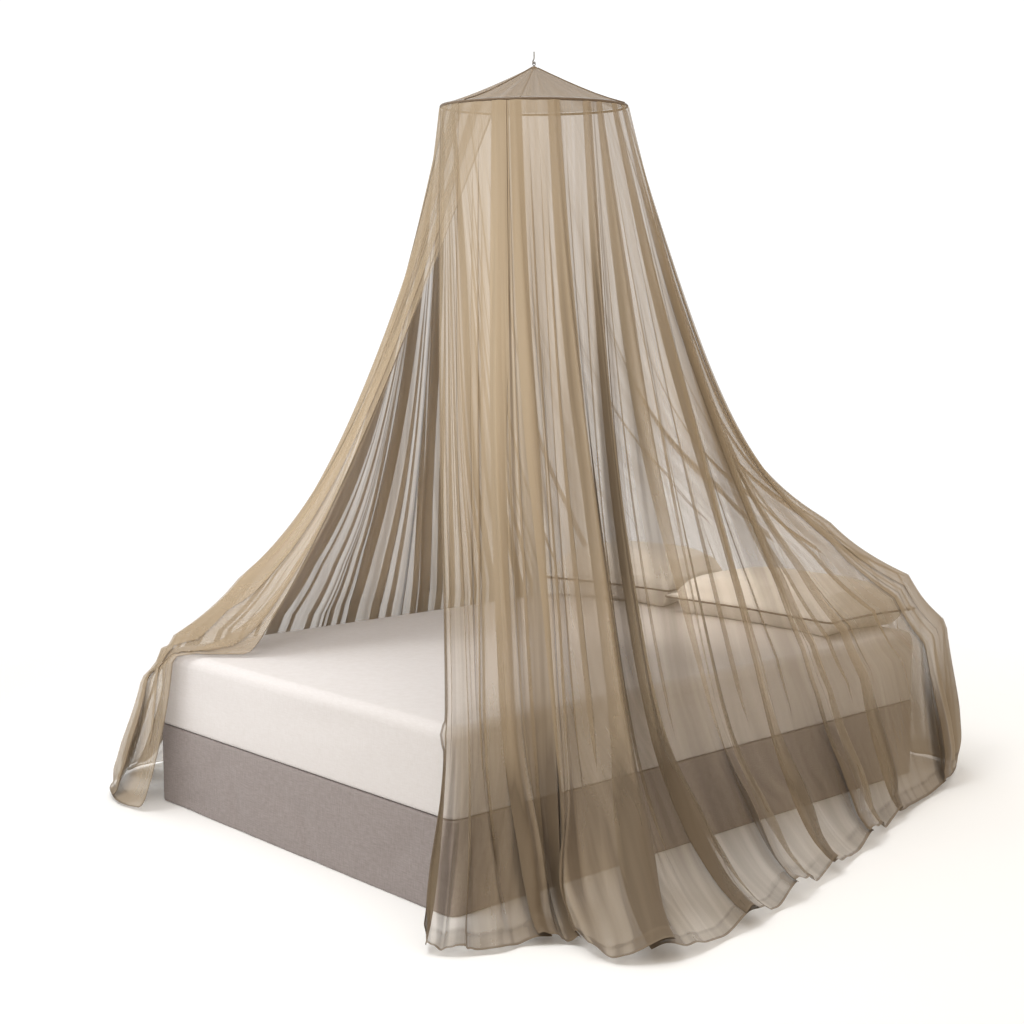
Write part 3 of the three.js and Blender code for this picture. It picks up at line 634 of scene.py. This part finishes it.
def add_node(tree, kind, links=(), **settings):
    """Adds a node, sets its properties, and links its sockets or sets them."""
    node = tree.nodes.new(kind)
    for name, value in settings.items():
        setattr(node, name, value)
    for socket, source in dict(links).items():
        target = node.inputs[socket]
        if isinstance(source, bpy.types.NodeSocket):
            tree.links.new(source, target)
        else:
            target.default_value = source
    return node


def new_material(name, roughness, sheen=0.0, metallic=0.0):
    material = bpy.data.materials.new(name)
    material.use_nodes = True
    shader = material.node_tree.nodes["Principled BSDF"]
    shader.inputs["Roughness"].default_value = roughness
    shader.inputs["Sheen Weight"].default_value = sheen
    shader.inputs["Metallic"].default_value = metallic
    return material, material.node_tree, shader


NET_OPEN = 0.57
CROWN_OPEN = 0.34
GRAIN_MM = 5
STREAK_MM = 24
STREAK_LONG_MM = 900
STREAK_NOISE = (0.35, 0.68)
STREAK_SHARES = (0.84, 1.28)
GRAIN_SHARES = (0.96, 1.04)
FOLD_PAINTED_SHADE = 2.8


# Knitted net of fine silvered yarn: one layer hides a little under half of what is behind it, and
# its folds look denser, with painted shade that makes them darker and browner. Fine gathers run
# down it as streaks that fan out from the hoop.
# The mesh is well under a millimetre, so a soft grain stands in.
def make_net(name, colour, shade, open_share):
    material, tree, shader = new_material(name, roughness=0.75, sheen=0.05)
    pattern = add_node(tree, "ShaderNodeUVMap", uv_map="pattern").outputs["UV"]
    fan = add_node(tree, "ShaderNodeUVMap", uv_map="fan").outputs["UV"]
    gather = add_node(tree, "ShaderNodeAttribute", attribute_name="gather").outputs["Fac"]
    fold = add_node(tree, "ShaderNodeAttribute", attribute_name="fold").outputs["Fac"]
    fine = (1 / (STREAK_MM * MM), 1 / (STREAK_LONG_MM * MM), 1)
    drawn = add_node(tree, "ShaderNodeMapping", {"Vector": fan, "Scale": fine})
    streak = add_node(
        tree, "ShaderNodeTexNoise", {"Vector": drawn.outputs["Vector"], "Scale": 1.0, "Detail": 3.0}
    )
    lines = add_node(tree, "ShaderNodeMapRange", {
        "Value": streak.outputs["Fac"],
        "From Min": STREAK_NOISE[0], "From Max": STREAK_NOISE[1],
        "To Min": STREAK_SHARES[0], "To Max": STREAK_SHARES[1],
    })
    grain = add_node(
        tree, "ShaderNodeTexNoise", {"Vector": pattern, "Scale": 1 / (GRAIN_MM * MM), "Detail": 2.0}
    )
    uneven = add_node(tree, "ShaderNodeMapRange", {
        "Value": grain.outputs["Fac"], "To Min": GRAIN_SHARES[0], "To Max": GRAIN_SHARES[1],
    })
    rough = add_node(
        tree, "ShaderNodeMath",
        {0: lines.outputs["Result"], 1: uneven.outputs["Result"]}, operation="MULTIPLY",
    )
    yarn = add_node(tree, "ShaderNodeMath", {0: gather, 1: rough.outputs[0]}, operation="MULTIPLY")
    passing = add_node(tree, "ShaderNodeMath", {0: open_share, 1: yarn.outputs[0]}, operation="POWER")
    hiding = add_node(tree, "ShaderNodeMath", {0: 1.0, 1: passing.outputs[0]}, operation="SUBTRACT")
    tree.links.new(hiding.outputs[0], shader.inputs["Alpha"])
    # Painted shade: where the fold attribute is high, in folds, pipes and low on the near side, the
    # colour turns to the shade colour.
    depth = add_node(tree, "ShaderNodeMath", {0: fold, 1: lines.outputs["Result"]}, operation="MULTIPLY")
    share = add_node(
        tree, "ShaderNodeMapRange", {"Value": depth.outputs[0], "From Min": 1.0, "From Max": FOLD_PAINTED_SHADE}
    )
    mix = add_node(
        tree, "ShaderNodeMix",
        {0: share.outputs["Result"], 6: linear(colour), 7: linear(shade)}, data_type="RGBA",
    )
    tree.links.new(mix.outputs[2], shader.inputs["Base Color"])
    return material


THREAD_SLOW = 0.12
THREAD_NOISE = (0.7, 1.3)


# Woven cloth: threads cross at a real spacing, drawn coarser where they would not show.
def make_weave(name, colour, shade, thread_mm, roughness, sheen, bump):
    material, tree, shader = new_material(name, roughness, sheen)
    place = add_node(tree, "ShaderNodeTexCoord").outputs["Object"]
    fine = 1 / (thread_mm * MM)
    slow = fine * THREAD_SLOW
    warp = add_node(tree, "ShaderNodeMapping", {"Vector": place, "Scale": (fine, fine, slow)})
    weft = add_node(tree, "ShaderNodeMapping", {"Vector": place, "Scale": (slow, slow, fine)})
    up, along = [
        add_node(
            tree, "ShaderNodeTexNoise", {"Vector": way.outputs["Vector"], "Scale": 1.0, "Detail": 3.0}
        ).outputs["Fac"]
        for way in (warp, weft)
    ]
    threads = add_node(tree, "ShaderNodeMath", {0: up, 1: along}, operation="ADD")
    share = add_node(tree, "ShaderNodeMapRange", {
        "Value": threads.outputs[0], "From Min": THREAD_NOISE[0], "From Max": THREAD_NOISE[1],
    })
    mix = add_node(
        tree, "ShaderNodeMix",
        {0: share.outputs["Result"], 6: linear(shade), 7: linear(colour)}, data_type="RGBA",
    )
    tree.links.new(mix.outputs[2], shader.inputs["Base Color"])
    relief = add_node(tree, "ShaderNodeBump", {
        "Height": threads.outputs[0], "Strength": bump, "Distance": thread_mm * MM,
    })
    tree.links.new(relief.outputs["Normal"], shader.inputs["Normal"])
    return material


STEEL_SPECKS = 900
STEEL_ROUGH = (0.28, 0.45)


# Drawn wire: a dull grey shine, rougher in specks of about a millimetre.
def make_steel(name, colour):
    material, tree, shader = new_material(name, roughness=STEEL_ROUGH[0], metallic=1.0)
    place = add_node(tree, "ShaderNodeTexCoord").outputs["Object"]
    draw = add_node(tree, "ShaderNodeTexNoise", {"Vector": place, "Scale": STEEL_SPECKS})
    rough = add_node(tree, "ShaderNodeMapRange", {
        "Value": draw.outputs["Fac"], "To Min": STEEL_ROUGH[0], "To Max": STEEL_ROUGH[1],
    })
    tree.links.new(rough.outputs["Result"], shader.inputs["Roughness"])
    shader.inputs["Base Color"].default_value = linear(colour)
    return material


# The nets. Columns: name, colour, painted shade colour in the folds, open share
NET = make_net("sheer shielding net", "#b09d81", "#71614c", NET_OPEN)
CROWN_NET = make_net("doubled shielding net", "#87745a", "#6f5d43", CROWN_OPEN)

# The woven cloths. Columns: name, colour, shade, thread spacing in mm, roughness, sheen, relief
TRIM = make_weave("brown net piping", "#7d6a55", "#665542", 1.5, 0.8, 0.1, 0.3)
SHEET = make_weave("cotton fitted sheet", "#d4d0ce", "#cdc8c5", 2.5, 0.85, 0.05, 0.08)
LINEN = make_weave("heathered linen cover", "#968d8a", "#847b78", 3, 0.95, 0.1, 0.25)
PILLOWCASE = make_weave("cotton pillowcase", "#f0ece6", "#e9e4dd", 2.5, 0.85, 0.1, 0.08)
WELT = make_weave("dark pillow piping", "#6b5d52", "#57493f", 1.5, 0.8, 0.1, 0.2)

STEEL = make_steel("drawn steel wire", "#b4b4b2")


# Pieces

def finish_piece(piece, material, slot, *nodes):
    piece.data.materials.clear()
    piece.data.materials.append(material)
    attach(piece, "root")
    if nodes:
        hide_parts(*nodes)
    return piece


def new_piece(name, bm):
    for face in bm.faces:
        face.smooth = True
    mesh = bpy.data.meshes.new(name)
    bm.to_mesh(mesh)
    bm.free()
    piece = bpy.data.objects.new(name, mesh)
    bpy.context.scene.collection.objects.link(piece)
    return piece


def dress_node(name, material):
    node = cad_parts[name]
    node.data.materials.clear()
    node.data.materials.append(material)


def spots_of(mesh):
    spots = np.zeros(3 * len(mesh.vertices), np.float32)
    mesh.vertices.foreach_get("co", spots)
    return spots.reshape(-1, 3)


def place_spots(mesh, spots):
    mesh.vertices.foreach_set("co", np.asarray(spots, np.float32).ravel())
    mesh.update()


def run_lengths(lattice, axis):
    """Length of cloth along the lattice's rows or columns, from their first point."""
    steps = np.linalg.norm(np.diff(lattice, axis=axis), axis=-1)
    return np.insert(np.cumsum(steps, axis), 0, 0, axis)


def grid_piece(name, lattice, densities):
    """A sheet through a lattice of points, with its flat pattern in metres and its fan as UV maps."""
    rows, columns = lattice.shape[0] - 1, lattice.shape[1] - 1
    bm = bmesh.new()
    bm.loops.layers.uv.new("pattern")
    bm.loops.layers.uv.new("fan")
    bmesh.ops.create_grid(bm, x_segments=columns, y_segments=rows, size=0.5)
    spots = np.array([v.co for v in bm.verts])
    column = np.rint((spots[:, 0] + 0.5) * columns).astype(int)
    row = np.rint((0.5 - spots[:, 1]) * rows).astype(int)
    piece = new_piece(name, bm)
    mesh = piece.data
    place_spots(mesh, lattice[row, column])
    across = run_lengths(lattice, 1)
    down = -run_lengths(lattice, 0)
    loops = np.zeros(len(mesh.loops), int)
    mesh.loops.foreach_get("vertex_index", loops)
    fanned = across / across[:, -1:] * across[:, -1].mean()
    for layer, sideways in (("pattern", across - across[:, columns // 2][:, None]), ("fan", fanned)):
        flat = np.stack([sideways, down], -1)[row, column][loops]
        mesh.uv_layers[layer].data.foreach_set("uv", flat.astype(np.float32).ravel())
    for label, values in densities.items():
        attribute = mesh.attributes.new(label, "FLOAT", "POINT")
        attribute.data.foreach_set("value", values[row, column].astype(np.float32))
    return piece


def steepness(lattice, facing):
    """How much more yarn one looks through where the sheet stands steeply in its folds."""
    across = np.gradient(lattice, axis=1)
    down = np.gradient(lattice, axis=0)
    square = np.abs((unit(np.cross(down, across)) * facing).sum(-1))
    return 1 / np.clip(square, STEEPEST, 1)


def edging(gore, lattice):
    """How much denser the net is in its hem, at its rolled free edges and at the gores' seams."""
    down = run_lengths(lattice, 0)
    across = run_lengths(lattice, 1)
    hem = down[-1:] - down
    dense = 1 + HEM_DENSE * smoothstep(hem, HEM_WIDTH, HEM_WIDTH - HEM_FADE)
    dense += STITCH_DENSE * smoothstep(np.abs(hem - HEM_WIDTH), HEM_STITCH, THREAD_WIDTH)
    hem_roll = (ROLLED_EDGE + HEM_ROLL_FADE, ROLLED_EDGE - ROLL_FADE)
    dense += HEM_ROLL_DENSE * smoothstep(hem, *hem_roll)
    for first, run in ((0, across), (len(GORES) - 1, across[:, -1:] - across)):
        if gore == first:
            dense += EDGE_ROLL_DENSE * smoothstep(run, ROLLED_EDGE + ROLL_FADE, ROLLED_EDGE - ROLL_FADE)
        else:
            dense += SEAM_DENSE * smoothstep(run, SEAM_EDGE, THREAD_WIDTH)
    return dense


def cell_columns(number):
    """Places across one pleat's cell, closer together in its band and in its tucks."""
    parts = [
        np.linspace(-1, -STRIP_REACH, SPAN_COLUMNS, endpoint=False),
        np.linspace(-STRIP_REACH, STRIP_REACH, BAND_COLUMNS, endpoint=False),
        np.linspace(STRIP_REACH, 1, SPAN_COLUMNS, endpoint=False),
    ]
    for pleat, place, half, start, end, side in TUCKS:
        if pleat == number:
            parts.append(place + half * np.linspace(-TUCK_MARGIN, TUCK_MARGIN, TUCK_COLUMNS))
    places = np.unique(np.round(np.concatenate(parts), 4))
    return places[(places >= -1) & (places < 1)]


def hang_gore(gore):
    name, width, length, area = GORES[gore]
    cells = [k + (cell_columns(gore * PLEATS_PER_GORE + k) + 1) / 2 for k in range(PLEATS_PER_GORE)]
    above = 1 - (1 - np.linspace(0, 1, ROWS_ABOVE_KNEE, endpoint=False)) ** ROW_CROWDING
    below = 1 + np.linspace(0, 1, ROWS_BELOW_KNEE, endpoint=False) ** ROW_CROWDING
    falls = np.concatenate([above, below[below < 2 - HEM_ROWS[0]], 2 - np.array(HEM_ROWS), [2]])
    across, fall = np.meshgrid(np.concatenate(cells + [[PLEATS_PER_GORE]]), falls)
    if gore == 0:
        cut = CORNER_CUT * np.clip(1 - across / CORNER_REACH, 0, 1) ** 2
        fall = fall - cut * np.maximum(fall - CORNER_START, 0) / (2 - CORNER_START)
    points, facing, yarn, dark = net_surface(gore, across, fall)
    lattice = to_frame(points)
    dense = steepness(lattice, facing) * edging(gore, lattice)
    # The fold attribute carries painted shade: the net's colour darkens where it is steep or denser, in
    # pipes and low on the near side.
    piece = grid_piece(name + "_cloth", lattice, {"gather": dense * yarn, "fold": dense * dark})
    finish_piece(piece, NET, "net", name)


def crown_point(deg, climb):
    rim = hoop_point(deg, HOOP_RADIUS, HOOP_TUBE + CROWN_RISE)
    neck = stacked(CROWN_NECK * np.cos(np.radians(deg)), CROWN_NECK * np.sin(np.radians(deg)), CROWN_TOP)
    return lerp(rim, neck, stacked(climb, climb, climb ** CROWN_HOLLOW))


def sew_crown(index):
    name = f"crown_gore_{index + 1}"
    start = CROWN_SEAMS_DEG[index]
    share, climb = np.meshgrid(np.linspace(0, 1, CROWN_COLUMNS + 1), np.linspace(1, 0, CROWN_ROWS + 1))
    edge = np.degrees(PIPING_CLEAR / lerp(HOOP_RADIUS, CROWN_NECK, climb))
    deg = lerp(start + edge, start + CROWN_SPAN_DEG - edge, share)
    points = crown_point(deg, climb)
    swelling = np.sin(np.radians(deg * PUCKER_SWELL + PUCKER_START_DEG))
    puckers = np.sin(np.radians(deg * PUCKER_TURNS)) * swelling
    points[..., 2] += PUCKER_HEIGHT * puckers * np.sin(np.pi * climb) * (1 - climb)
    gather = 1 + PUCKER_DENSE * np.clip(puckers, 0, 1) ** 2 * (1 - climb)
    # The puckers' gather also sets painted shade in the crown's colour.
    piece = grid_piece(name + "_cloth", to_frame(points), {"gather": gather, "fold": gather})
    finish_piece(piece, CROWN_NET, "net", name)


def new_slab(name, foot, height, corner, top_edge, bottom_edge):
    """A slab of the bed with rounded edges, cut finely enough to be creased."""
    bm = bmesh.new()
    bmesh.ops.create_cube(bm, size=1)
    bmesh.ops.scale(bm, vec=(BED_LENGTH * MM, BED_WIDTH * MM, height * MM), verts=bm.verts)
    upright = [e for e in bm.edges if abs(e.verts[0].co.z - e.verts[1].co.z) > height * MM / 2]
    round_edges(bm, upright, corner)
    level = (height / 2 - RIM_SLACK) * MM
    for side, edge in ((1, top_edge), (-1, bottom_edge)):
        rim = [e for e in bm.edges if all(v.co.z * side > level for v in e.verts)]
        round_edges(bm, rim, edge)
    for axis, size in enumerate((BED_LENGTH, BED_WIDTH, height)):
        normal = Vector((axis == 0, axis == 1, axis == 2))
        count = round(size / SLAB_STEP)
        for k in range(1, count):
            place = (k / count - 0.5) * size
            if abs(place) < size / 2 - top_edge:
                geom = bm.verts[:] + bm.edges[:] + bm.faces[:]
                bmesh.ops.bisect_plane(bm, geom=geom, plane_co=normal * place * MM, plane_no=normal)
    bmesh.ops.translate(bm, vec=(BED_SHIFT * MM, 0, (foot + height / 2) * MM + FLOOR_Z), verts=bm.verts)
    return new_piece(name, bm)


def round_edges(bm, edges, radius):
    bmesh.ops.bevel(
        bm, geom=edges, offset=radius * MM, offset_type="OFFSET", segments=EDGE_SEGMENTS, profile=0.5,
        affect="EDGES", material=-1,
    )


def crease(piece, troughs):
    """Presses soft troughs into a piece along lines between two points on it."""
    mesh = piece.data
    spots = spots_of(mesh)
    normals = np.array([v.normal for v in mesh.vertices])
    depth = np.zeros(len(spots))
    for start, end, width, deep in troughs:
        first, last = to_frame(np.array(start, float)), to_frame(np.array(end, float))
        run = last - first
        t = np.clip((spots - first) @ run / (run @ run), 0, 1)
        away = np.linalg.norm(spots - first - t[:, None] * run, axis=1)
        faded = lerp(TROUGH_AT_ENDS, 1, np.sin(np.pi * t))
        depth += deep * MM * np.exp(-((away / (width * MM)) ** 2)) * faded
    place_spots(mesh, spots - normals * depth[:, None])


def make_mattress():
    edges = (MATTRESS_CORNER, MATTRESS_EDGE, MATTRESS_SEAM)
    piece = new_slab("mattress_sheet", MATTRESS_FOOT, MATTRESS_HEIGHT, *edges)
    crease(piece, SHEET_TROUGHS)
    finish_piece(piece, SHEET, "sheet", "mattress")


def make_base():
    piece = new_slab("bed_base_cover", 0, BASE_HEIGHT, BASE_CORNER, BASE_EDGE, BASE_EDGE)
    crease(piece, COVER_TROUGHS)
    finish_piece(piece, LINEN, "upholstery", "bed_base")


def evaluated_mesh(piece):
    graph = bpy.context.evaluated_depsgraph_get()
    return bpy.data.meshes.new_from_object(piece.evaluated_get(graph))


def swell(piece):
    """Blows a closed case up as cloth, and holds each point near where it began."""
    scene = bpy.context.scene
    began = spots_of(piece.data)
    cloth = piece.modifiers.new("Cloth", "CLOTH")
    cloth.settings.use_pressure = True
    cloth.settings.uniform_pressure_force = PILLOW_PRESSURE
    cloth.settings.effector_weights.gravity = 0
    cloth.settings.shrink_min = -PILLOW_SLACK
    for step in range(1, PILLOW_FRAMES + 1):
        scene.frame_set(step)
    mesh = evaluated_mesh(piece)
    piece.modifiers.clear()
    piece.data = mesh
    scene.frame_set(1)
    move = spots_of(mesh) - began
    length = np.linalg.norm(move, axis=1, keepdims=True)
    ended = began + move * np.minimum(1, PILLOW_CAP * MM / np.maximum(length, 1e-9))
    ended[:, 2] = np.maximum(ended[:, 2], (MATTRESS_TOP + PILLOW_CLEAR) * MM + FLOOR_Z)
    place_spots(mesh, ended)


def make_pillow(name, x, y, wide, long, seam, turn):
    middle = Vector((x * MM, y * MM, (MATTRESS_TOP + seam) * MM + FLOOR_Z))
    bm = bmesh.new()
    bm.from_mesh(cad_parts[name].data)
    bmesh.ops.remove_doubles(bm, verts=bm.verts, dist=MERGE_DISTANCE)
    bmesh.ops.translate(bm, vec=-middle, verts=bm.verts)
    bmesh.ops.scale(bm, vec=PILLOW_START, verts=bm.verts)
    bmesh.ops.translate(bm, vec=middle, verts=bm.verts)
    piece = new_piece(name + "_case", bm)
    remesh = piece.modifiers.new("Remesh", "REMESH")
    remesh.mode = "VOXEL"
    remesh.voxel_size = PILLOW_VOXEL * MM
    mesh = evaluated_mesh(piece)
    piece.modifiers.clear()
    piece.data = mesh
    swell(piece)
    for face in piece.data.polygons:
        face.use_smooth = True
    smooth = piece.modifiers.new("Subdivision", "SUBSURF")
    smooth.levels = 1
    smooth.render_levels = 1
    finish_piece(piece, PILLOWCASE, "pillowcase", name)
    pipe_pillow(name + "_piping", middle, wide, long, turn)


def pipe_pillow(name, middle, wide, long, turn):
    """Dark piping along a pillow's seam."""
    curve = bpy.data.curves.new(name, "CURVE")
    curve.dimensions = "3D"
    curve.bevel_depth = PIPING_RADIUS * MM
    curve.bevel_resolution = 2
    spline = curve.splines.new("POLY")
    spline.use_cyclic_u = True
    spline.points.add(PIPING_POINTS - 1)
    spin = Matrix.Rotation(math.radians(turn), 3, "Z")
    for k, point in enumerate(spline.points):
        angle = 2 * math.pi * k / PIPING_POINTS
        u = math.copysign(abs(math.cos(angle)) ** PIPING_SQUARE, math.cos(angle))
        v = math.copysign(abs(math.sin(angle)) ** PIPING_SQUARE, math.sin(angle))
        across = u * wide / 2 * (1 - PILLOW_PINCH * (1 - v * v))
        along = v * long / 2 * (1 - PILLOW_END_PINCH * (1 - u * u))
        place = middle + spin @ Vector((across * MM, along * MM, 0))
        point.co = (*place, 1)
    drawn = bpy.data.objects.new(name + "_line", curve)
    bpy.context.scene.collection.objects.link(drawn)
    piece = bpy.data.objects.new(name, evaluated_mesh(drawn))
    bpy.data.objects.remove(drawn)
    bpy.context.scene.collection.objects.link(piece)
    finish_piece(piece, WELT, "trim")


def light_world():
    """A white studio, dimmer and warmer on the near side, with a plain backdrop for the camera."""
    world = bpy.data.worlds.new("soft studio")
    world.use_nodes = True
    tree = world.node_tree
    towards = add_node(tree, "ShaderNodeTexCoord").outputs["Generated"]
    side = add_node(
        tree, "ShaderNodeVectorMath", {0: towards, 1: LIGHT_SIDE}, operation="DOT_PRODUCT"
    )
    bright = add_node(tree, "ShaderNodeMapRange", {
        "Value": side.outputs["Value"], "From Min": LIGHT_TURN[0], "From Max": LIGHT_TURN[1],
    }).outputs["Result"]
    strength = add_node(
        tree, "ShaderNodeMapRange", {"Value": bright, "To Min": DARK_SIDE, "To Max": BRIGHT_SIDE}
    )
    tint = add_node(
        tree, "ShaderNodeMix",
        {0: bright, 6: linear(DARK_TINT), 7: linear(BRIGHT_TINT)}, data_type="RGBA",
    )
    lit = tree.nodes["Background"]
    tree.links.new(strength.outputs["Result"], lit.inputs["Strength"])
    tree.links.new(tint.outputs[2], lit.inputs["Color"])
    plain = add_node(
        tree, "ShaderNodeBackground", {"Color": linear(BRIGHT_TINT), "Strength": BRIGHT_SIDE}
    )
    seen = add_node(tree, "ShaderNodeLightPath").outputs["Is Camera Ray"]
    backdrop = add_node(
        tree, "ShaderNodeMixShader", {0: seen, 1: lit.outputs[0], 2: plain.outputs[0]}
    )
    tree.links.new(backdrop.outputs[0], tree.nodes["World Output"].inputs["Surface"])
    bpy.context.scene.world = world


def make_stage():
    scene = bpy.context.scene
    bm = bmesh.new()
    bmesh.ops.create_grid(bm, x_segments=1, y_segments=1, size=FLOOR_SIZE)
    bmesh.ops.translate(bm, vec=(0, 0, FLOOR_Z), verts=bm.verts)
    floor = new_piece("floor", bm)
    material, tree, shader = new_material("pale floor", roughness=0.9)
    shader.inputs["Base Color"].default_value = linear("#fdfdfc")
    place = add_node(tree, "ShaderNodeTexCoord").outputs["Object"]
    away = add_node(tree, "ShaderNodeVectorMath", {0: place, 1: (0, 0, FLOOR_Z)}, operation="DISTANCE")
    fade = add_node(tree, "ShaderNodeMapRange", {
        "Value": away.outputs["Value"], "From Min": FLOOR_PLAIN, "From Max": FLOOR_END,
        "To Min": 1.0, "To Max": 0.0,
    })
    tree.links.new(fade.outputs["Result"], shader.inputs["Alpha"])
    floor.data.materials.append(material)
    light_world()
    for name, place, aim, size, spread, power, tint in LAMPS:
        lamp = bpy.data.lights.new(name, "AREA")
        lamp.size = size
        lamp.spread = math.radians(spread)
        lamp.energy = power
        lamp.color = linear(tint)[:3]
        light = bpy.data.objects.new(name, lamp)
        light.location = place
        light.rotation_mode = "QUATERNION"
        light.rotation_quaternion = (Vector(aim) - Vector(place)).to_track_quat("-Z", "Y")
        light.visible_camera = False
        scene.collection.objects.link(light)
    lens = bpy.data.cameras.new("camera")
    lens.lens = CAMERA_LENS_MM
    lens.sensor_width = CAMERA_SENSOR_MM
    camera = bpy.data.objects.new("camera", lens)
    yaw, pitch = math.radians(CAMERA_YAW_DEG), math.radians(CAMERA_PITCH_DEG)
    look = Vector((math.cos(yaw) * math.cos(pitch), math.sin(yaw) * math.cos(pitch), math.sin(pitch)))
    camera.location = CAMERA_PLACE
    camera.rotation_mode = "QUATERNION"
    camera.rotation_quaternion = look.to_track_quat("-Z", "Y")
    scene.collection.objects.link(camera)
    scene.camera = camera
    scene.cycles.transparent_max_bounces = 64
    scene.view_settings.view_transform = "Standard"


make_stage()
for gore in range(len(GORES)):
    hang_gore(gore)
for index in range(len(CROWN_SEAMS_DEG)):
    sew_crown(index)
    dress_node(f"crown_piping_{index + 1}", TRIM)
for name in ("hoop", "apex_cap", "hanging_loop"):
    dress_node(name, TRIM)
dress_node("ceiling_hook", STEEL)
make_mattress()
make_base()
for pillow in PILLOWS:
    make_pillow(*pillow)
